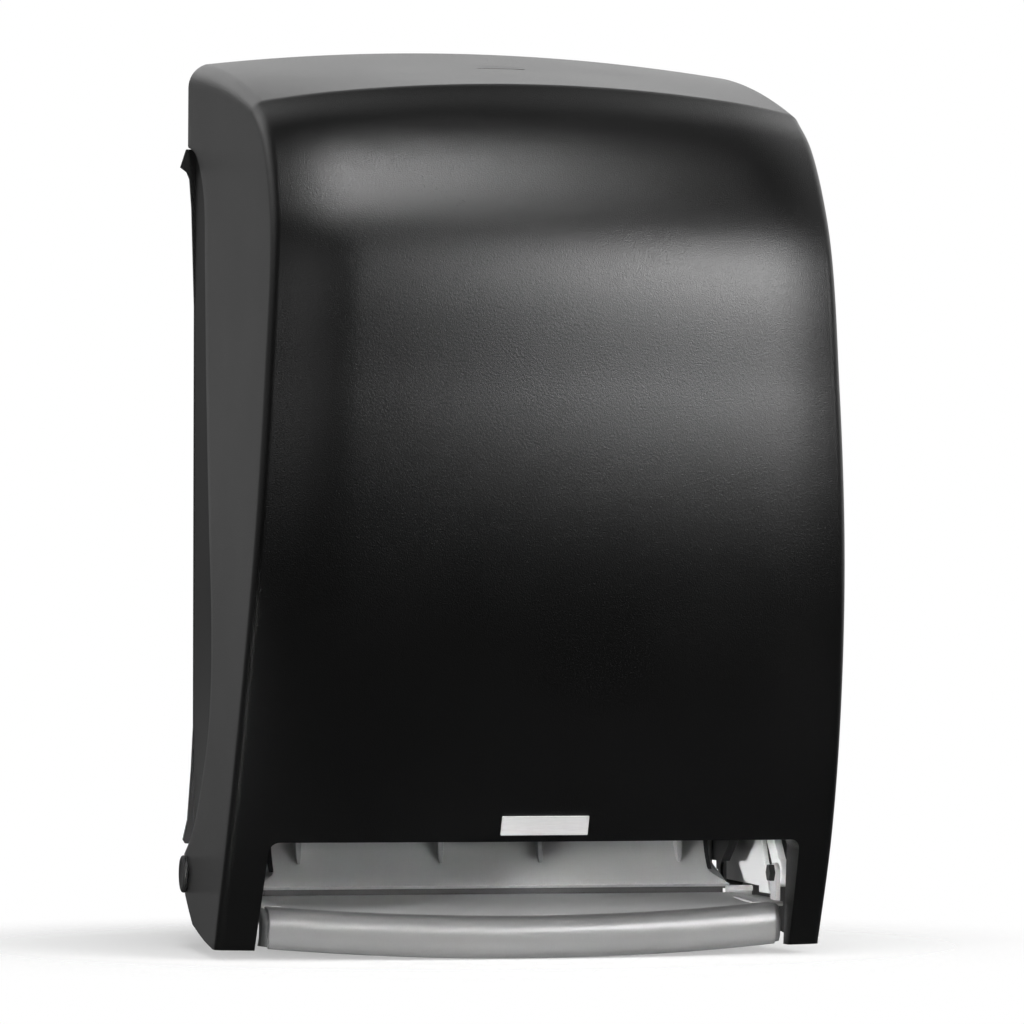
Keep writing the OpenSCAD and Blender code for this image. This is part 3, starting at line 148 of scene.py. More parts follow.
# Tray, and the wings at its sides with their rear lips and strut lugs
TRAY_REAR, TRAY_Z, TRAY_REAR_HALF, TRAY_HALF = 74, -204, 121, 127
TRAY_LAP, TRAY_LIFT, TRAY_SAG = 13.2, 0.6, 1.2
TRAY_WALL, TRAY_RIM = 2.3, 0.6
TRAY_ACROSS, TRAY_ALONG = 126, 18
WING_IN, WING_OUT, WING_WALL, WING_RIM = 118, 134, 2.2, 0.4
WING_TOP = [(74, -205.4), (95, -205.6), (110, -206.2), (123.5, -206.9)]
WING_SINK, WING_BLEND = 0.05, (80, 95)
WING_LIP = [
    (72, -207), (72, -201.3), (72.8, -200.5), (75.2, -200.5),
    (76, -201.3), (76, -203.2), (74.4, -203.6), (74.4, -207),
]
STRUT_TOP, STRUT_LOW = (84, -160), (113.5, -193)
STRUT_LUG_R, STRUT_LUG_WALL, STRUT_LUG_FOOT = 5, 2.5, -206.5

# Works. A coil has a radius, a pitch, a number of turns and a tail.
ROLL_Z, ROLLER_Z = 30, -150
ARM_PIVOT, ARM_COIL, ARM_WIRE, ARM_COIL_DROP = (112, 16), (3.6, 1.7, 11, 1.1), 0.55, 9.35
LATCH, LATCH_COIL, LATCH_WIRE, LATCH_COIL_X = (70, 190.872), (2.4, 1.3, 4, 0.8), 0.4, 6
PINCH_PIVOT, PINCH_COIL, PINCH_WIRE, PINCH_COIL_W = (80, -116), (3.9, 1.4, 5, 0.9), 0.45, 7.45
EAR_X, EAR_HALF, EAR_DROP, EAR_TOP, EAR_RIM = (12.5, 15.5), 8, 5, (208.6, 205), 0.4
HINGE_R, HINGE_TIP, HINGE_SIDES = 4.5, 0.8, 56
BUTTON_R, BUTTON_H, BUTTON_EDGE = 9.4, 2.5, 0.3
# The button's face: depth below its highest ring and how much less than its radius
BUTTON_FACE = [(1.1, 0), (0.5, 0.3), (0.12, 1), (0, 2), (0.15, 3.2), (0.5, 4)]
SCREW_R, SCREW_SIDES = 2, 36
STRUT_HEAD, STRUT_HEAD_R, STRUT_TOP_START, STRUT_LOW_START = (138, 140.6), 5, 116.5, 131.5
NUT_R, NUT_H = 4.6, 2.7
FRAME_HEAD, FRAME_HEAD_R, FRAME_START = (6, 8), 4, 0.4
CELL_R, CELL_GAP, CELL_TIP, CELL_SIDES, TIP_SIDES = 17.1, 0.2, 2.2, 56, 40
WRAP_LAP, WRAP_EDGE = 2.2, 0.6
# The cell's steel end: place past the wrap and radius
TIP = [(-0.3, 14.7), (0.2, 14.5), (0.2, 7), (0.6, 5.4), (0.8, 5), (1.7, 5), (2, 4.6), (2, 1)]

# Rounded edges of the pieces that are shown as their own solids
SOFT_EDGE, FINE_EDGE, FLAT_ANGLE = 0.45, 0.15, 0.6
FINE = (
    "motor_pinion", "idler_gear", "roller_gear", "tear_bar", "battery_contacts", "idler_stud", "latch_pin",
)

# Grain, cloudiness and brush lines of the finishes
GRAIN_DETAIL, GRAIN_ROUGHNESS, GRAIN_SHARE = 2.0, 0.6, 0.6
CLOUD_MM, CLOUD_DETAIL, CLOUD_SHARE, TONE = 60, 3.0, 0.4, (0.5, 0.3)
BRUSH_STRETCH, BRUSH_CLOUD_MM, BRUSH_DEPTH = (0.03, 1.0, 1.0), 25, 0.02
BRUSH_SHARE, BRUSH_CLOUD_SHARE, BRUSH_ROUGH, BRUSH_CLOUD_ROUGH = 0.7, 0.3, 0.16, 0.1

# Camera and stage, in metres
CAMERA_AT = (-0.5323, -2.5101, -0.1050)
CAMERA_TURN, CAMERA_PITCH = math.radians(12.5), math.radians(2.096)
LENS, SENSOR = 175.78, 36
# Each lamp: where it stands and aims, its size, its power in watts and its spread in degrees
LAMPS = {
    "front": ((0.87, -1.77, 0.59), (0, -0.2, 0.08), (1.0, 0.46), 34, 180),
    "right": ((1.62, -1.42, 0.56), (0.1, -0.15, 0.08), (0.7, 0.4), 9, 180),
    "top": ((-0.13, -0.78, 1.31), (-0.06, -0.2, 0.15), (0.62, 0.2), 1.4, 60),
    "left": ((-1.3, -1.86, 0.42), (0, -0.1, 0.1), (0.3, 0.4), 3.2, 180),
    "low_left": ((-1.6, -1.15, -0.14), (0.15, -0.06, -0.22), (0.5, 0.12), 0.32, 8),
    "low_right": ((1.45, -1.55, -0.14), (-0.06, -0.08, -0.28), (0.5, 0.12), 0.24, 10),
    "low_front": ((-0.3, -2.4, 0.3), (0, -0.1, -0.29), (0.5, 0.12), 0.15, 10),
    "back": ((0.15, 1.35, 0.85), (0, -0.1, 0.2), (1.4, 0.5), 0.1, 180),
}
CARD_AT, CARD_TARGET, CARD_SIZE = (-1.36, 1.3, 0.0), (-0.15, -0.1, 0), (3.2, 1.7)
CARD_GREY, CARD_CLEAR, CARD_FADE = 0.02, (0.17, 0.27), (-0.1, 0.25)
FLOOR_HALF, FLOOR_GAP, FLOOR_GREY = 3.0, 0.0004, 0.96
FLOOR_CLEAR, FLOOR_FADE = 0.1, (0.3, 0.14)
ROOM_DARK, ROOM_LIGHT = 0.012, 0.32
HORIZON, ROOF_LINE, REAR_LINE = (-0.05, 0.1), (0.7, 0.25), (0.1, 0.25)


def lerp(a, b, t):
    return a + (b - a) * t


def limit(t):
    return min(1.0, max(0.0, t))


def part_way(value, start, end):
    """How far a value has come from start to end, from 0 to 1."""
    return limit((value - start) / (end - start))


def swell(t):
    """0 at both ends and 1 in the middle."""
    return 4 * t * (1 - t)


def place(x, depth, z):
    """Point in metres from across, depth and height in millimetres."""
    return (x * MM, -depth * MM, z * MM)


class Spline:
    """Smooth curve through points, with slopes that suit uneven spacing."""

    def __init__(self, points):
        p = np.array(points, float)
        leg = np.diff(p, axis=0)
        chord = np.linalg.norm(leg, axis=1)
        unit = leg / chord[:, None]
        slope = np.empty_like(p)
        slope[0], slope[-1] = unit[0], unit[-1]
        before, after = chord[:-1, None], chord[1:, None]
        slope[1:-1] = (unit[:-1] * after + unit[1:] * before) / (before + after)
        self.p, self.chord, self.slope = p, chord, slope

    def __call__(self, u):
        i = min(int(u), len(self.chord) - 1)
        t = u - i
        h = self.chord[i]
        return (
            self.p[i] * (2 * t**3 - 3 * t**2 + 1) + self.slope[i] * h * (t**3 - 2 * t**2 + t)
            + self.p[i + 1] * (3 * t**2 - 2 * t**3) + self.slope[i + 1] * h * (t**3 - t**2)
        )

    def line(self, n):
        last = len(self.chord)
        return [tuple(self(k / n)) for k in range(last * n + 1)]


# Shaders


class Wire:
    """A socket in a node tree. Arithmetic on it adds Math nodes."""

    def __init__(self, tree, socket=None):
        self.tree, self.socket = tree, socket

    def add(self, kind, settings=None, inputs=None, output=0):
        """A new node with these settings and inputs, as the wire from one of its outputs."""
        node = self.tree.nodes.new(kind)
        for key, value in (settings or {}).items():
            setattr(node, key, value)
        for key, value in (inputs or {}).items():
            if isinstance(value, Wire):
                self.tree.links.new(value.socket, node.inputs[key])
            else:
                node.inputs[key].default_value = value
        return Wire(self.tree, node.outputs[output] if node.outputs else None)

    def maths(self, operation, a, b):
        return self.add("ShaderNodeMath", {"operation": operation}, {0: a, 1: b})

    def __add__(self, other):
        return self.maths("ADD", self, other)

    def __sub__(self, other):
        return self.maths("SUBTRACT", self, other)

    def __rsub__(self, other):
        return self.maths("SUBTRACT", other, self)

    def __mul__(self, other):
        return self.maths("MULTIPLY", self, other)

    def above(self, edge, soft):
        """0 below the edge and 1 above it, over a soft width."""
        return self.add(
            "ShaderNodeMapRange", {"interpolation_type": "SMOOTHSTEP"},
            {"Value": self, "From Min": edge - soft, "From Max": edge + soft},
        )

    def blend(self, low, high):
        """Colour that goes from low to high as this value goes from 0 to 1."""
        return self.add("ShaderNodeMix", {"data_type": "RGBA"}, {0: self, 6: low, 7: high}, 2)

    def along(self, axis):
        return self.add("ShaderNodeSeparateXYZ", None, {0: self}, axis)

    def place(self):
        return self.add("ShaderNodeTexCoord", output="Object")

    def noise(self, size_mm, detail, roughness=0.5, at=None):
        """Cloudy value about as coarse as a size in millimetres."""
        return self.add(
            "ShaderNodeTexNoise", {"noise_dimensions": "3D"},
            {"Vector": at or self.place(), "Scale": 1 / (size_mm * MM), "Detail": detail,
             "Roughness": roughness},
        )


def grey(value):
    return (value, value, value, 1.0)


def new_material(name):
    material = bpy.data.materials.new(name)
    material.use_nodes = True
    material.node_tree.nodes.clear()
    return material, Wire(material.node_tree)


def close_solid(wire, sockets, height, height_mm):
    """Ends a material in a Principled shader with these sockets and a bump."""
    bump = {"Height": height, "Distance": height_mm * MM, "Strength": 1.0}
    sockets["Normal"] = wire.add("ShaderNodeBump", None, bump)
    shader = wire.add("ShaderNodeBsdfPrincipled", None, sockets)
    wire.add("ShaderNodeOutputMaterial", None, {"Surface": shader})


def close_gauze(wire, colour, share):
    """Ends a material in a matt colour with a clear share."""
    matt = wire.add("ShaderNodeBsdfDiffuse", None, {"Color": colour})
    clear = wire.add("ShaderNodeBsdfTransparent")
    surface = wire.add("ShaderNodeMixShader", None, {0: share, 1: matt, 2: clear})
    wire.add("ShaderNodeOutputMaterial", None, {"Surface": surface})


def moulded(name, low, high, rough, grain_mm, grain_depth, specular=0.35, rough_spread=0.06, metallic=0.0):
    """Moulded plastic with a spark-eroded grain and a faint cloudiness."""
    material, wire = new_material(name)
    grain = wire.noise(grain_mm, GRAIN_DETAIL, GRAIN_ROUGHNESS)
    cloud = wire.noise(CLOUD_MM, CLOUD_DETAIL)
    mix = grain * GRAIN_SHARE + cloud * CLOUD_SHARE
    sockets = {
        "Base Color": mix.above(*TONE).blend(low, high),
        "Roughness": (cloud - 0.5) * rough_spread + (grain - 0.5) * rough_spread + rough,
        "Specular IOR Level": specular,
        "Metallic": metallic,
    }
    close_solid(wire, sockets, grain, grain_depth)
    return material


def brushed(name, low, high, rough, line_mm, metallic=1.0):
    """Bright metal with fine lines along X."""
    material, wire = new_material(name)
    stretched = wire.add(
        "ShaderNodeMapping", {"vector_type": "POINT"}, {"Vector": wire.place(), "Scale": BRUSH_STRETCH}
    )
    lines = wire.noise(line_mm, GRAIN_DETAIL, GRAIN_ROUGHNESS, stretched)
    cloud = wire.noise(BRUSH_CLOUD_MM, CLOUD_DETAIL)
    mix = lines * BRUSH_SHARE + cloud * BRUSH_CLOUD_SHARE
    sockets = {
        "Base Color": mix.above(*TONE).blend(low, high),
        "Roughness": (lines - 0.5) * BRUSH_ROUGH + (cloud - 0.5) * BRUSH_CLOUD_ROUGH + rough,
        "Metallic": metallic,
    }
    close_solid(wire, sockets, lines, BRUSH_DEPTH)
    return material


FINISHES = {
    "cover_black": moulded("hood satin black", grey(0.0016), grey(0.003), 0.295, 0.55, 0.15, 0.5),
    "frame_black": moulded("frame matt black", grey(0.011), grey(0.017), 0.45, 0.6, 0.06, 0.45),
    "dark_plastic": moulded("dark grey moulding", grey(0.035), grey(0.05), 0.5, 0.5, 0.03),
    # The guide's and tray's silver is a lighter copy of the nose's same silver: painted light against the shade
    # they sit in.
    "silver_plastic": moulded("silver grey moulding", grey(0.45), grey(0.5), 0.45, 0.4, 0.02, 0.4),
    "badge_metal": brushed("badge plate", grey(0.46), grey(0.56), 0.36, 0.25, 0.2),
    "light_plastic": moulded("light grey moulding", grey(0.86), grey(0.92), 0.45, 0.4, 0.02),
    "white_plastic": moulded("natural white moulding", grey(0.72), grey(0.78), 0.45, 0.4, 0.02),
    "bright_steel": brushed("bright steel", grey(0.5), grey(0.62), 0.3, 0.3),
    "black_rubber": moulded("matt rubber", grey(0.018), grey(0.028), 0.8, 0.8, 0.05, 0.2),
    "circuit_board": moulded(
        "solder mask", (0.01, 0.09, 0.04, 1), (0.015, 0.12, 0.055, 1), 0.3, 0.8, 0.01
    ),
    "cell_wrap": moulded(
        "cell wrap", (0.35, 0.22, 0.05, 1), (0.42, 0.27, 0.07, 1), 0.25, 2.0, 0.005, 0.5
    ),
}
# The nose bar's silver, a darker copy of the guide's and tray's, with a metallic share: painted shade.
NOSE_SHADE = moulded(
    "satin silver lacquer with painted shade", grey(0.155), grey(0.18), 0.39, 0.35, 0.015, 0.5, 0.06, 0.25
)
# The nose's end caps in a darker copy of the nose's silver: painted shade on the ends that face sideways.
CAP_SHADE = moulded("silver moulding with painted shade", grey(0.1), grey(0.13), 0.4, 0.35, 0.015, 0.5)
# The lip under the guide is coloured dark to paint the shaded band beneath the guide's edge.
LIP_SHADE = moulded("lip moulding with painted shade", grey(0.045), grey(0.06), 0.5, 0.35, 0.015, 0.4)
# The ribs are the guide's silver in a darker copy: painted shade.
RIB_SHADE = moulded("rib moulding with painted shade", grey(0.3), grey(0.34), 0.45, 0.4, 0.02, 0.4)
NODE_FINISH = {
    "wall_chassis": moulded("back tray matt black", grey(0.036), grey(0.046), 0.48, 0.6, 0.06, 0.45),
}
NODE_BODY = {n: body for body, nodes in frame["record"]["behaviour"]["bodies"].items() for n in nodes}
NODE_SLOT = {row["node"]: row["material_slot"] for row in frame["record"]["subparts"]}


# Meshes

dressed = set()


def new_object(name, data):
    obj = bpy.data.objects.new(name, data)
    bpy.context.scene.collection.objects.link(obj)
    return obj


def show(name, mesh, body, slot, replaced=(), material=None):
    """A finished mesh as a piece that rides on a body and stands for CAD nodes."""
    obj = new_object(name, mesh)
    obj.data.materials.clear()
    obj.data.materials.append(material or FINISHES[slot])
    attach(obj, body)
    for node in replaced:
        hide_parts(node)
        dressed.add(node)


def mesh_of(name, points, faces):
    mesh = bpy.data.meshes.new(name)
    mesh.from_pydata([tuple(p) for p in points], [], faces)
    mesh.update()
    return mesh


def worked(name, mesh, *modifiers):
    """The mesh after a list of modifiers, each a type with its settings."""
    obj = new_object(name, mesh)
    for kind, settings in modifiers:
        modifier = obj.modifiers.new(kind.lower(), kind)
        for key, value in settings.items():
            setattr(modifier, key, value)
    graph = bpy.context.evaluated_depsgraph_get()
    done = bpy.data.meshes.new_from_object(obj.evaluated_get(graph))
    done.name = name
    bpy.data.objects.remove(obj)
    return done


def bevel(width, sharp, segments=2):
    """Modifier that rounds the edges sharper than an angle."""
    return "BEVEL", {
        "width": width * MM, "segments": segments, "limit_method": "ANGLE", "angle_limit": math.radians(sharp),
    }


def thicken(wall):
    """Modifier that gives a sheet its wall, inward."""
    return "SOLIDIFY", {"thickness": wall * MM, "offset": -1}


def clean(mesh, weld=WELD, sharp=SHARP, outward=True):
    """Welds, drops loose points, turns faces outward and smooths all but sharp edges."""
    work = bmesh.new()
    work.from_mesh(mesh)
    bmesh.ops.remove_doubles(work, verts=work.verts, dist=weld)
    bmesh.ops.delete(work, geom=[v for v in work.verts if not v.link_faces], context="VERTS")
    if outward:
        bmesh.ops.recalc_face_normals(work, faces=work.faces)
    for face in work.faces:
        face.smooth = True
    for edge in work.edges:
        edge.smooth = len(edge.link_faces) != 2 or edge.calc_face_angle(0) < math.radians(sharp)
    work.to_mesh(mesh)
    work.free()
    return mesh


def even(mesh):
    """Flat faces shaded flat: normals lean to the larger faces, so only the rounded edges turn."""
    return worked(mesh.name, mesh, ("WEIGHTED_NORMAL", {"mode": "FACE_AREA", "keep_sharp": True}))


def soften(node, width):
    """The CAD node with its edges rounded, as a piece that stands for it."""
    name = node + "_shown"
    mesh = frame["nodes"][node].data.copy()
    mesh.name = name
    work = bmesh.new()
    work.from_mesh(mesh)
    bmesh.ops.remove_doubles(work, verts=work.verts, dist=WELD)
    bmesh.ops.dissolve_limit(
        work, angle_limit=math.radians(FLAT_ANGLE), verts=work.verts, edges=work.edges, delimit={"NORMAL"}
    )
    work.to_mesh(mesh)
    work.free()
    done = even(clean(worked(name, mesh, bevel(width, EDGE_SHARP)), FINE_WELD))
    show(name, done, NODE_BODY[node], NODE_SLOT[node], [node], NODE_FINISH.get(node))


class Shape:
    """Points and faces of a piece while it is put together, in millimetres."""

    def __init__(self):
        self.points, self.faces = [], []

    def add(self, points, faces):
        first = len(self.points)
        self.points += [tuple(p) for p in points]
        self.faces += [tuple(first + i for i in face) for face in faces]
        return self

    def prism(self, x0, x1, outline):
        """Plate across X from an outline of depth and height."""
        n = len(outline)
        ends = [(x, d, z) for x in (x0, x1) for d, z in outline]
        sides = [(i, (i + 1) % n, n + (i + 1) % n, n + i) for i in range(n)]
        return self.add(ends, sides + [tuple(range(n))[::-1], tuple(range(n, 2 * n))])

    def block(self, x, depth, z):
        (near, far), (low, high) = depth, z
        return self.prism(*x, [(near, low), (far, low), (far, high), (near, high)])

    def tube(self, rings):
        """Closed skin over rings that all have the same number of points."""
        n, last = len(rings[0]), len(rings) - 1
        sides = [
            (k * n + j, k * n + (j + 1) % n, (k + 1) * n + (j + 1) % n, (k + 1) * n + j)
            for k in range(last) for j in range(n)
        ]
        ends = [tuple(range(n))[::-1], tuple(last * n + j for j in range(n))]
        return self.add([q for ring in rings for q in ring], sides + ends)

    def turned(self, profile, at, axis, segments):
        """Turned form from stations of place and radius; a third value makes a hexagon."""
        rings = []
        for along, radius, *hexagon in profile:
            ring = []
            for k in range(segments):
                a = 2 * math.pi * k / segments
                r = radius
                if hexagon:
                    r *= math.cos(math.pi / 6) / math.cos((a % (math.pi / 3)) - math.pi / 6)
                c, d = at[0] + r * math.cos(a), at[1] + r * math.sin(a)
                ring.append((along, c, d) if axis == "x" else (c, along, d))
            rings.append(ring)
        return self.tube(rings)

    def wire(self, path, radius, sides=10):
        """Round wire along a path."""
        path = np.array(path, float)
        way = np.gradient(path, axis=0)
        way /= np.linalg.norm(way, axis=1)[:, None]
        up = np.array([0.0, 0.0, 1.0]) if abs(way[0][2]) < 0.9 else np.array([1.0, 0.0, 0.0])
        turns = [2 * math.pi * j / sides for j in range(sides)]
        rings = []
        for q, t in zip(path, way):
            up = up - t * (up @ t)
            up /= np.linalg.norm(up)
            side = np.cross(t, up)
            rings.append([tuple(q + radius * (math.cos(a) * up + math.sin(a) * side)) for a in turns])
        return self.tube(rings)

    def mirrored(self):
        """The shape with its twin on the other side of the middle."""
        return self.add([(-x, d, z) for x, d, z in self.points], [f[::-1] for f in self.faces])

    def mesh(self, name):
        return mesh_of(name, [place(*q) for q in self.points], self.faces)


def build(name, shape, body, slot, replaced=(), edge=0.0, sharp=EDGE_SHARP, material=None):
    """A shape as a finished piece, with its sharp edges rounded."""
    mesh = clean(shape.mesh(name))
    if edge:
        mesh = worked(name, mesh, bevel(edge, sharp))
    show(name, even(clean(mesh, FINE_WELD)), body, slot, replaced, material)


# Hood

hood_edge = Spline(HOOD_EDGE)


def half_at(depth, z):
    """Half width of the hood's outside."""
    rear = lerp(REAR_HALF_FOOT, REAR_HALF_TOP, (z - FOOT_Z) / (CROWN_Z - FOOT_Z))
    lean = lerp(LEAN_FOOT, LEAN_TOP, (z - FOOT_Z) / (CREASE_Z - FOOT_Z))
    return rear - depth * math.tan(math.radians(lean))


def bow(s):
    """Bow of the front across its width, 0 in the middle and 1 at the edge."""
    fall = PANEL_BOW / FRONT_BOW
    strip = max(0.0, s - PANEL_SHARE) / (1 - PANEL_SHARE)
    return fall * (s / PANEL_SHARE) ** 2 + (1 - fall / PANEL_SHARE**2) * strip**STRIP_POWER


class HoodRow:
    """One row of the hood, from its foot (0) over the crease (7) to the crown (8)."""

    def __init__(self, u):
        back = max(0.0, u - CREASE)
        brow, temple = part_way(u, BROW, CREASE), part_way(u, TEMPLE, CREASE)
        if back:
            self.row = lerp(np.array(HOOD_EDGE[-1], float), np.array(CROWN, float), back)
            self.row[1] += SIDE_SWELL * swell(back)
        else:
            self.row = hood_edge(u)
        turn = lerp(CREASE_TURN * brow, math.pi / 2, back)
        self.inward = np.array([-math.cos(turn), -math.sin(turn)])
        self.rise = lerp(CREASE_RISE * temple, CROWN_RISE, back)
        self.rise -= SIDE_SWELL * swell(back)
        self.bow = FRONT_BOW * (self.row[0] / CREASE_DEPTH if back else 1)
        self.r = lerp(lerp(EDGE_R, CREASE_EDGE_R, temple), CROWN_EDGE_R, back)
        self.side = self.row + self.r * self.inward
        self.half = half_at(*self.side)
        self.band = self.half - self.r * (1 - math.cos(EDGE_SWEEP))
        self.base = self.row + self.r * (1 - math.sin(EDGE_SWEEP)) * self.inward

    def arc(self, t):
        """Point on the rounded edge between side and front."""
        q = self.row + self.r * (1 - math.sin(t)) * self.inward
        return self.half - self.r * (1 - math.cos(t)), q[0], q[1]

    def front(self, x):
        """Point on the bowed front."""
        s = min(1.0, abs(x) / self.band)
        return x, self.base[0] + self.bow * (1 - bow(s)), self.base[1] + self.rise * (1 - s * s)


FINE_U = np.linspace(0, BROW, FINE_ROWS)
FINE_Z = np.array([hood_edge(u)[1] for u in FINE_U])


def row_at(z):
    """Row number on the lower front at a height."""
    return float(np.interp(z, FINE_Z, FINE_U))


def rear_line():
    """Rear edge of a side wall from toe to crown, as a line of points."""
    heel_turn = math.pi + HINGE_SWING
    heel = np.array(HINGE) + LUG_R * np.array([math.cos(heel_turn), math.sin(heel_turn)])
    sole_end = heel + SOLE_END * np.array([math.sin(HINGE_SWING), -math.cos(HINGE_SWING)])
    arch = [(share * TOE[0], FOOT_Z + rise) for share, rise in SOLE_RISE]
    sole = Spline([TOE, *arch, tuple(sole_end)]).line(SOLE_STEPS)
    lug = [
        (HINGE[0] + LUG_R * math.cos(a), HINGE[1] + LUG_R * math.sin(a))
        for a in np.linspace(heel_turn, math.pi, LUG_STEPS)
    ]
    grip = [q for q in Spline(GRIP_LINE).line(GRIP_STEPS)[::-1] if q[0] > REAR_GAP]
    # where the grip cut's two ends come out at the rear
    low, high = (
        np.interp(REAR_GAP, [end[0], near[0]], [end[1], near[1]])
        for end, near in ((GRIP_LINE[-1], grip[0]), (GRIP_LINE[0], grip[-1]))
    )
    top = CROWN_Z - CROWN_EDGE_R - REAR_TOP_GAP
    line = [*sole, *lug, (REAR_GAP, low), *grip, (REAR_GAP, high), (REAR_GAP, top)]
    return np.array([(max(d, REAR_GAP), z) for d, z in line])


def rear_starts(rows):
    """Rear start of each row, spaced along the rear line between the paired points."""
    line = rear_line()
    run = np.concatenate([[0], np.cumsum(np.linalg.norm(np.diff(line, axis=0), axis=1))])

    def length_at(depth, z):
        return run[np.argmin(np.hypot(line[:, 0] - depth, line[:, 1] - z))]

    pairs = [(0, TOE)] + [(row_at(z), q) for z, q in REAR_BY_HEIGHT] + REAR_BY_ROW
    u, at = zip(*[(a, length_at(*b)) for a, b in pairs])
    lengths = np.interp(rows, u, at)
    return np.stack([np.interp(lengths, run, line[:, k]) for k in (0, 1)], axis=1)


def hood_rows():
    """Row numbers, with rows on the outlet's top, below its corners and on both sides of the key slot."""
    fixed = [row_at(OPENING_Z), row_at(OPENING_Z - OPENING_R)]
    middle = 1 + FRONT_BOW / CREASE_DEPTH
    for side in (1, -1):
        depth = (KEY_DEPTH + side * KEY_W / 2) / middle
        fixed.append(CREASE + (CREASE_DEPTH - depth) / (CREASE_DEPTH - CROWN[0]))
    plain = [*np.linspace(0, CREASE, FRONT_ROWS), *np.linspace(CREASE, CREASE + 1, ROOF_ROWS)[1:]]
    kept = [u for u in plain if min(abs(u - f) for f in fixed) > ROW_GAP or u in (0, CREASE)]
    return sorted(kept + fixed), fixed[:3]


def finger_dish(x, depth):
    """How far the roof dips behind the key slot."""
    back = limit((KEY_DEPTH - KEY_W / 2 - depth) / DISH_LENGTH)
    dip = math.sin(math.pi * back) if back < 1 else 0.0
    return DISH_DROP * max(0.0, 1 - (x / DISH_HALF) ** 2) ** 2 * dip


class HoodSheet:
    """Outer skin of the hood as a grid of rows, with the outlet and the key slot left open."""

    def __init__(self):
        self.rows, (self.opening, self.below, self.slot) = hood_rows()
        panel = np.linspace(KEY_HALF, OPENING_HALF - OPENING_R, PANEL_COLS)[1:]
        right_half = [0, KEY_MID, KEY_HALF, *panel, OPENING_HALF]
        self.centre = [-x for x in right_half[:0:-1]] + right_half
        self.first = SIDE_COLS + ARC_COLS + LEG_COLS
        self.last = self.first + len(self.centre) - 1
        self.width = self.first + self.last + 1
        starts = rear_starts(self.rows)
        self.points = [place(*q) for u, start in zip(self.rows, starts) for q in self.line(u, start)]
        self.faces = []
        self.fill()
        left, right = self.round_corner(-1), self.round_corner(1)
        top = self.rows.index(self.opening) * self.width
        head = list(range(top + self.first + 2, top + self.last - 1))
        self.add_flange(left[::-1] + head + right)

    def line(self, u, start):
        """Points of one row, from the left rear edge over the front to the right rear edge."""
        row = HoodRow(u)
        side = []
        for k in range(SIDE_COLS):
            q = lerp(start, row.side, k / SIDE_COLS)
            side.append((half_at(*q), q[0], q[1]))
        side += [row.arc(EDGE_SWEEP * k / ARC_COLS) for k in range(ARC_COLS)]
        drop = max(0.0, OPENING_Z - OPENING_R - row.row[1])
        leg = OPENING_HALF + OPENING_FLARE * drop / FLARE_LENGTH
        side += [row.front(lerp(row.band, leg, k / LEG_COLS)) for k in range(LEG_COLS)]
        span = leg / OPENING_HALF
        middle = [row.front(x * span) for x in self.centre]
        if u > CREASE:
            middle = [(x, d, z - finger_dish(x, d)) for x, d, z in middle]
        return [(-x, d, z) for x, d, z in side] + middle + side[::-1]

    def is_open(self, u, column):
        """Whether there is no face here, in the outlet or the key slot."""
        if not self.first <= column < self.last:
            return False
        ends = self.centre[column - self.first:column - self.first + 2]
        return u < self.opening or (u == self.slot and max(abs(x) for x in ends) <= KEY_HALF)

    def fill(self):
        """Faces between neighbouring rows and columns."""
        for i, u in enumerate(self.rows[:-1]):
            for j in range(self.width - 1):
                if not self.is_open(u, j):
                    a = i * self.width + j
                    self.faces.append((a, a + 1, a + self.width + 1, a + self.width))

    def round_corner(self, side):
        """Rounds an upper corner of the outlet, and gives the rim from there down to the foot."""
        below = self.rows.index(self.below)
        end = self.first if side < 0 else self.last
        corner = self.rows.index(self.opening) * self.width + end
        fan = [corner - side]
        for k in range(1, CORNER_STEPS):
            a = math.pi / 2 * (1 + k / CORNER_STEPS)
            x = OPENING_HALF - OPENING_R - OPENING_R * math.cos(a)
            z = OPENING_Z - OPENING_R + OPENING_R * math.sin(a)
            self.points.append(place(*HoodRow(row_at(z)).front(side * x)))
            fan.append(len(self.points) - 1)
        fan.append(below * self.width + end)
        for p, q in zip(fan, fan[1:]):
            self.faces.append((corner, q, p) if side < 0 else (corner, p, q))
        return fan + [i * self.width + end for i in range(below - 1, -1, -1)]

    def add_flange(self, rim):
        """Return flange all round the outlet, deepest at the top of its legs."""
        first = len(self.points)
        for index in rim:
            x, y, z = self.points[index]
            up = part_way(z / MM, FOOT_Z, OPENING_Z - OPENING_R)
            along = limit((OPENING_HALF - abs(x) / MM) / FLANGE_BLEND)
            deep = lerp(lerp(FLANGE_LOW, FLANGE_HIGH, up), FLANGE_TOP, along)
            self.points.append((x, y + deep * MM, z))
        for k in range(len(rim) - 1):
            self.faces.append((rim[k], first + k, first + k + 1, rim[k + 1]))


def make_hood():
    sheet = HoodSheet()
    mesh = clean(mesh_of("hood", sheet.points, sheet.faces), FINE_WELD, outward=False)
    shell = worked("hood", mesh, thicken(HOOD_WALL), bevel(HOOD_RIM, RIM_SHARP, RIM_SEGMENTS))
    done = clean(shell, FINE_WELD, HOOD_SHARP, outward=False)
    show("hood", done, "cover", "cover_black", ["front_cover"])


def make_latch_ears():
    """Ears under the roof that hold the latch pin."""
    depth, z = LATCH
    turns = np.linspace(0, -math.pi, ROUND_STEPS)
    foot = [(depth + EAR_HALF * math.cos(a), z + EAR_DROP * math.sin(a)) for a in turns]
    shape = Shape().prism(*EAR_X, foot + [(depth - EAR_HALF, EAR_TOP[0]), (depth + EAR_HALF, EAR_TOP[1])])
    build("latch_ears", shape.mirrored(), "cover", "cover_black", (), EAR_RIM)


# Nose bar


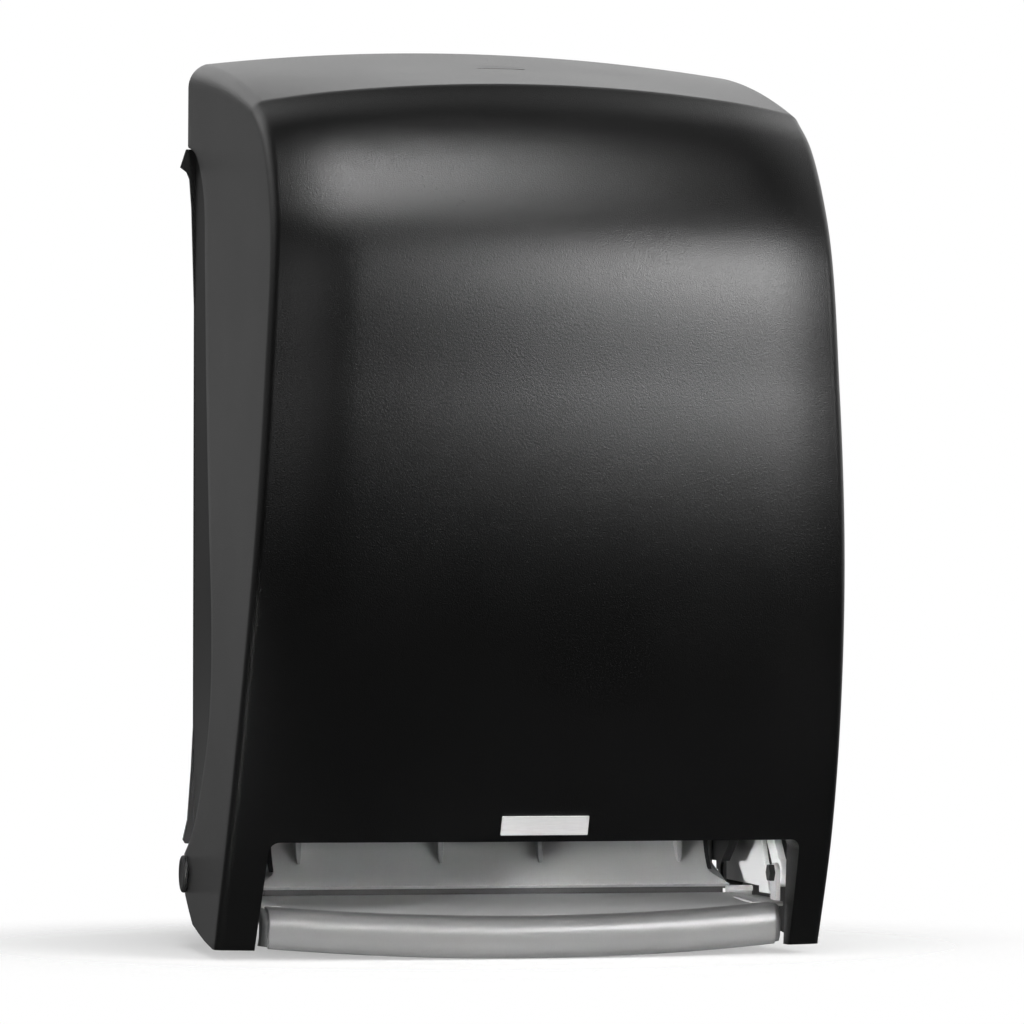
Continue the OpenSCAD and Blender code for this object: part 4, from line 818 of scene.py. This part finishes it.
def nose_front(s):
    turn = part_way(abs(s), NOSE_END, 1)
    return NOSE_DEPTH + NOSE_BOW * (1 - s * s) - NOSE_END_R * (1 - math.sqrt(1 - turn**2))


def nose_top(s):
    return NOSE_Z - NOSE_DIP * (1 - s * s)


def nose_ring(s, inset=0.0):
    """Section of the nose bar at a share of its half width."""
    front, top, height = nose_front(s) - inset, nose_top(s) - inset, NOSE_H - 2 * inset
    face, back = (
        Spline([(front - behind, top - drop - share * height) for behind, drop, share in section]).line(n)
        for section, n in ((NOSE_FACE, NOSE_FACE_STEPS), (NOSE_BACK, NOSE_BACK_STEPS))
    )
    return [(NOSE_HALF * s, *q) for q in face + back]


def make_nose():
    """Bowed bar at the front of the outlet with a set-back cap at each end, both in darker copies of the
    guide's silver: painted shade.
    """
    shares = np.sin(np.linspace(-1, 1, NOSE_STATIONS) * math.asin(NOSE_END))
    bar = Shape().tube([nose_ring(s) for s in shares])
    build("nose", bar, "chassis", "silver_plastic", ["nose_bar"], NOSE_RIM, NOSE_SHARP, NOSE_SHADE)
    # Caps coloured darker than the bar: painted shade.
    ends = 1 - (1 - NOSE_END) * np.array(CAP_STATIONS)
    caps = Shape().tube([nose_ring(s, CAP_INSET) for s in ends]).mirrored()
    build("nose_caps", caps, "chassis", "silver_plastic", (), CAP_RIM, CAP_SHARP, CAP_SHADE)


# Guide and tray


def make_guide():
    """Rear wall of the outlet: leans forward to a sharp edge, flares at its foot and carries ribs."""
    face = Spline(GUIDE_FACE).line(GUIDE_STEPS)
    loop = face + GUIDE_BACK
    flares = [part_way(z, GUIDE_FLARE_Z, GUIDE_FACE[-1][1]) for d, z in loop]
    halves = [lerp(GUIDE_HALF, GUIDE_FOOT, flare) for flare in flares]
    shape = Shape().tube([
        [(k * half, d, z) for half, (d, z) in zip(halves, loop)] for k in np.linspace(-1, 1, GUIDE_STATIONS)
    ])
    for side in (-1, 1):
        shape.block(sorted(side * x for x in TAB_X), TAB_DEPTH, TAB_Z)
    build("guide", shape, "chassis", "silver_plastic", ["paper_guide"], GUIDE_RIM)
    # Lip below the guide's edge, dark as painted shade.
    lip = Shape().block((-LIP_HALF, LIP_HALF), LIP_DEPTH, LIP_Z)
    build("guide_lip", lip, "chassis", "dark_plastic", (), LIP_RIM, material=LIP_SHADE)
    # Stripper ribs, darker than the guide as painted shade.
    ribs = Shape()
    for x in RIB_X:
        ribs.tube([
            [(x - w, back, z), (x + w, back, z), (x + RIB_TAPER * w, front, z), (x - RIB_TAPER * w, front, z)]
            for z, w, back, front in RIB_STATIONS
        ])
    build("guide_ribs", ribs, "chassis", "silver_plastic", (), RIB_RIM, material=RIB_SHADE)
    # Black strips at the guide's ends: painted shade for the dark gaps there.
    edge = [q for q in face if q[1] > GUIDE_FLARE_Z]
    outline = edge + [(d - SHADE_STRIP_DEEP, z) for d, z in edge[::-1]]
    shade_strip = Shape().prism(GUIDE_HALF, GUIDE_HALF + SHADE_STRIP_W, outline)
    build("guide_end_shade_strips", shade_strip.mirrored(), "chassis", "black_rubber", (), SHADE_STRIP_RIM)


def wing_top(depth):
    return float(np.interp(depth, *zip(*WING_TOP)))


def tray_line(x):
    """Points of the tray's floor from its rear edge to the nose."""
    slant = part_way(abs(x), TRAY_REAR_HALF, TRAY_HALF)
    rear = lerp(TRAY_REAR, WING_TOP[1][0], slant)
    share = min(abs(x) / NOSE_HALF, NOSE_END)
    front, end = nose_front(share) - TRAY_LAP, nose_top(share) + TRAY_LIFT
    line = []
    for j in range(TRAY_ALONG + 1):
        t = j / TRAY_ALONG
        depth = lerp(rear, front, t)
        z = lerp(TRAY_Z, end, t) - TRAY_SAG * swell(t) * (1 - slant)
        blend = slant * slant * part_way(depth, *WING_BLEND)
        line.append((x, depth, lerp(z, wing_top(depth) - WING_SINK, blend)))
    return line


def make_tray():
    """Floor of the outlet, cut slantwise at its rear corners."""
    points = [
        q for k in range(TRAY_ACROSS + 1) for q in tray_line(lerp(-TRAY_HALF, TRAY_HALF, k / TRAY_ACROSS))
    ]
    n = TRAY_ALONG + 1
    faces = [
        (k * n + j, k * n + j + 1, (k + 1) * n + j + 1, (k + 1) * n + j)
        for k in range(TRAY_ACROSS) for j in range(TRAY_ALONG)
    ]
    sheet = clean(Shape().add(points, faces).mesh("tray"), outward=False)
    if sheet.polygons[0].normal.z < 0:
        sheet.flip_normals()
    floor = worked("tray", sheet, thicken(TRAY_WALL), bevel(TRAY_RIM, RIM_SHARP, RIM_SEGMENTS))
    done = clean(floor, FINE_WELD, RIM_SHARP, outward=False)
    show("tray", done, "chassis", "silver_plastic", ["scoop_tray"])


def make_wings():
    """Low wings at the tray's sides, with rear lips and strut lugs."""
    wing = Shape().prism(WING_IN, WING_OUT, WING_TOP + [(d, z - WING_WALL) for d, z in WING_TOP[::-1]])
    wing.prism(WING_IN, WING_OUT - STRUT_LUG_WALL, WING_LIP)
    (depth, z), r = STRUT_LOW, STRUT_LUG_R
    lug = [(depth + r * math.cos(a), z + r * math.sin(a)) for a in np.linspace(0, math.pi, ROUND_STEPS)]
    outline = [(depth + r, STRUT_LUG_FOOT), *lug, (depth - r, STRUT_LUG_FOOT)]
    wing.prism(WING_OUT - STRUT_LUG_WALL, WING_OUT, outline)
    build("tray_wings", wing.mirrored(), "chassis", "silver_plastic", (), WING_RIM)


# Works


def coil(radius, pitch, turns, tail, steps=20):
    """Centre line of a wound spring about its own axis, with straight ends."""
    line = [(radius, -tail, 0.0)]
    for k in range(turns * steps + 1):
        a = 2 * math.pi * k / steps
        line.append((radius * math.cos(a), radius * math.sin(a), pitch * k / steps))
    return line + [(radius, tail, pitch * turns)]


def make_springs():
    """Round-wire springs of the roll arms, the latch and the counter roller."""
    across, depth = ARM_PIVOT
    for side, name in ((1, "right"), (-1, "left")):
        path = [(side * (across + x), depth - y, ROLL_Z - ARM_COIL_DROP + z) for x, y, z in coil(*ARM_COIL)]
        wound = Shape().wire(path, ARM_WIRE)
        build(f"arm_coil_{name}", wound, "chassis", "bright_steel", [f"arm_spring_{name}"])
    path = [(LATCH_COIL_X + z, LATCH[0] - y, LATCH[1] - x) for x, y, z in coil(*LATCH_COIL)]
    build("latch_coil", Shape().wire(path, LATCH_WIRE), "cover", "bright_steel", ["latch_spring"])
    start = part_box("pinch_springs")[1].x / MM - PINCH_COIL_W
    path = [(start + z, PINCH_PIVOT[0] - y, PINCH_PIVOT[1] - x) for x, y, z in coil(*PINCH_COIL)]
    pair = Shape().wire(path, PINCH_WIRE).mirrored()
    build("pinch_coils", pair, "chassis", "bright_steel", ["pinch_springs"])


def screw(shape, start, head, at, axis, head_r):
    """Screw with a rounded head and a hexagon socket."""
    seat, top = head
    shape.turned(
        [(start, SCREW_R), (seat, SCREW_R), (seat, head_r - 0.2), (seat + 0.25, head_r),
         (top - 0.9, head_r), (top - 0.25, head_r - 0.5), (top, head_r - 1.4),
         (top, head_r * 0.5, 1), (top - 1.3, head_r * 0.48, 1)],
        at, axis, SCREW_SIDES,
    )


def make_hinge_button(side, name):
    """Hinge pin with a dished button head."""
    low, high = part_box(f"hinge_pin_{name}")
    inner = (low.x if side > 0 else high.x) / MM
    outer = (high.x if side > 0 else low.x) / MM
    neck = outer - side * BUTTON_H
    face = [(outer - side * down, BUTTON_R - less) for down, less in BUTTON_FACE]
    shape = Shape().turned(
        [(inner, HINGE_R - HINGE_TIP), (inner + side * HINGE_TIP, HINGE_R), (neck, HINGE_R),
         (neck, BUTTON_R - BUTTON_EDGE), (neck + side * BUTTON_EDGE, BUTTON_R), *face, (face[-1][0], 1)],
        HINGE, "x", HINGE_SIDES,
    )
    build(f"hinge_button_{name}", shape, "chassis", NODE_SLOT[f"hinge_pin_{name}"], [f"hinge_pin_{name}"])


def make_fasteners():
    """Hinge pins, strut screws with their nuts, and frame screws."""
    make_hinge_button(1, "right")
    make_hinge_button(-1, "left")
    struts = Shape()
    screw(struts, STRUT_TOP_START, STRUT_HEAD, STRUT_TOP, "x", STRUT_HEAD_R)
    screw(struts, STRUT_LOW_START, STRUT_HEAD, STRUT_LOW, "x", STRUT_HEAD_R)
    nut = WING_OUT - STRUT_LUG_WALL
    struts.turned(
        [(nut, NUT_R, 1), (nut - NUT_H + 0.5, NUT_R, 1), (nut - NUT_H, NUT_R - 0.6, 1), (nut - NUT_H, SCREW_R)],
        STRUT_LOW, "x", SCREW_SIDES,
    )
    build("strut_screws", struts.mirrored(), "chassis", NODE_SLOT["tray_screws"], ["tray_screws"])
    frame_set = Shape()
    low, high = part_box("frame_screws")
    for x in (low.x / MM + FRAME_HEAD_R, high.x / MM - FRAME_HEAD_R):
        for z in (low.z / MM + FRAME_HEAD_R, high.z / MM - FRAME_HEAD_R):
            screw(frame_set, FRAME_START, FRAME_HEAD, (x, z), "depth", FRAME_HEAD_R)
    build("frame_screw_set", frame_set, "chassis", NODE_SLOT["frame_screws"], ["frame_screws"])


def make_cells():
    """Round cells: wrapped bodies with steel ends and contact buttons."""
    low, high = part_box("battery_cells")
    mid = (low.x + high.x) / 2 / MM
    length = (high.x - low.x) / 2 / MM + CELL_GAP
    r = CELL_R
    wraps, ends = Shape(), Shape()
    for depth in (-high.y / MM + r, -low.y / MM - r):
        for start in (mid - length, mid):
            a, b = start + CELL_GAP, start + length - CELL_TIP
            wraps.turned(
                [(a, r - WRAP_LAP), (a, r - WRAP_EDGE), (a + WRAP_EDGE, r),
                 (b - WRAP_EDGE, r), (b, r - WRAP_EDGE), (b, r - WRAP_LAP)],
                (depth, ROLLER_Z), "x", CELL_SIDES,
            )
            ends.turned([(b + past, radius) for past, radius in TIP], (depth, ROLLER_Z), "x", TIP_SIDES)
    build("cell_wraps", wraps, "chassis", "cell_wrap", ["battery_cells"])
    build("cell_ends", ends, "chassis", "bright_steel", ())


make_hood()
make_latch_ears()
make_nose()
make_guide()
make_tray()
make_wings()
make_springs()
make_fasteners()
make_cells()
for node in frame["nodes"]:
    if node not in dressed:
        soften(node, FINE_EDGE if node in FINE else SOFT_EDGE)


# Stage


def aim(obj, at, target):
    obj.location = at
    obj.rotation_euler = (Vector(target) - Vector(at)).to_track_quat("-Z", "Y").to_euler()


def rectangle(name, across, up, z=0.0):
    corners = [(-across, -up, z), (across, -up, z), (across, up, z), (-across, up, z)]
    return new_object(name, mesh_of(name, corners, [(0, 1, 2, 3)]))


def make_camera():
    turn, pitch = CAMERA_TURN, CAMERA_PITCH
    ahead = Vector((math.sin(turn) * math.cos(pitch), math.cos(turn) * math.cos(pitch), math.sin(pitch)))
    right = Vector((math.cos(turn), -math.sin(turn), 0))
    up = right.cross(ahead)
    data = bpy.data.cameras.new("camera")
    data.lens, data.sensor_width, data.sensor_fit = LENS, SENSOR, "HORIZONTAL"
    camera = new_object("camera", data)
    camera.matrix_world = Matrix.Translation(CAMERA_AT) @ Matrix((right, up, -ahead)).transposed().to_4x4()
    bpy.context.scene.camera = camera


def make_lamp(name, at, target, size, power, spread):
    data = bpy.data.lights.new(name, "AREA")
    data.shape, data.size, data.size_y, data.energy = "RECTANGLE", size[0], size[1], power
    data.spread = math.radians(spread)
    lamp = new_object(name, data)
    aim(lamp, at, target)
    lamp.visible_camera = False


def make_card():
    """A dark gauze card out of the camera's sight. The hood's side mirrors it and part of the white behind."""
    card = rectangle("left_card", CARD_SIZE[0] / 2, CARD_SIZE[1] / 2)
    aim(card, CARD_AT, CARD_TARGET)
    card.visible_camera = card.visible_diffuse = card.visible_shadow = False
    material, wire = new_material("left_card")
    low, high = CARD_CLEAR
    share = wire.place().along("Y").above(*CARD_FADE) * (high - low) + low
    close_gauze(wire, grey(CARD_GREY), share)
    card.data.materials.append(material)


def make_floor():
    """A white floor that fades out away from the part."""
    floor = rectangle("floor", FLOOR_HALF, FLOOR_HALF, cad_box[0][2] - FLOOR_GAP)
    material, wire = new_material("floor")
    far = wire.add("ShaderNodeVectorMath", {"operation": "LENGTH"}, {0: wire.place()}, "Value")
    close_gauze(wire, grey(FLOOR_GREY), far.above(*FLOOR_FADE) * (1 - FLOOR_CLEAR) + FLOOR_CLEAR)
    floor.data.materials.append(material)
    floor.visible_glossy = False


def make_world():
    """A dim room that the camera sees as white, and mirrors see as white behind the part only."""
    world = bpy.data.worlds.new("studio")
    bpy.context.scene.world = world
    world.use_nodes = True
    world.node_tree.nodes.clear()
    wire = Wire(world.node_tree)
    camera, glossy, clear = (
        wire.add("ShaderNodeLightPath", output=kind)
        for kind in ("Is Camera Ray", "Is Glossy Ray", "Is Transmission Ray")
    )
    way = wire.add("ShaderNodeTexCoord", output="Generated")
    above = way.along("Z").above(*HORIZON)
    below = 1 - way.along("Z").above(*ROOF_LINE)
    behind = way.along("Y").above(*REAR_LINE) * above * below
    seen = wire.add("ShaderNodeClamp", None, {"Value": camera + (glossy + clear) * behind})
    room = behind.blend(grey(ROOM_DARK), grey(ROOM_LIGHT))
    light = wire.add("ShaderNodeBackground", None, {"Color": room, "Strength": 1.0})
    white = wire.add("ShaderNodeBackground", None, {"Color": grey(1.0), "Strength": 1.0})
    mixed = wire.add("ShaderNodeMixShader", None, {0: seen, 1: light, 2: white})
    wire.add("ShaderNodeOutputWorld", None, {"Surface": mixed})


make_camera()
for name, lamp in LAMPS.items():
    make_lamp(name, *lamp)
make_card()
make_floor()
make_world()
bpy.context.scene.view_settings.view_transform = "Standard"
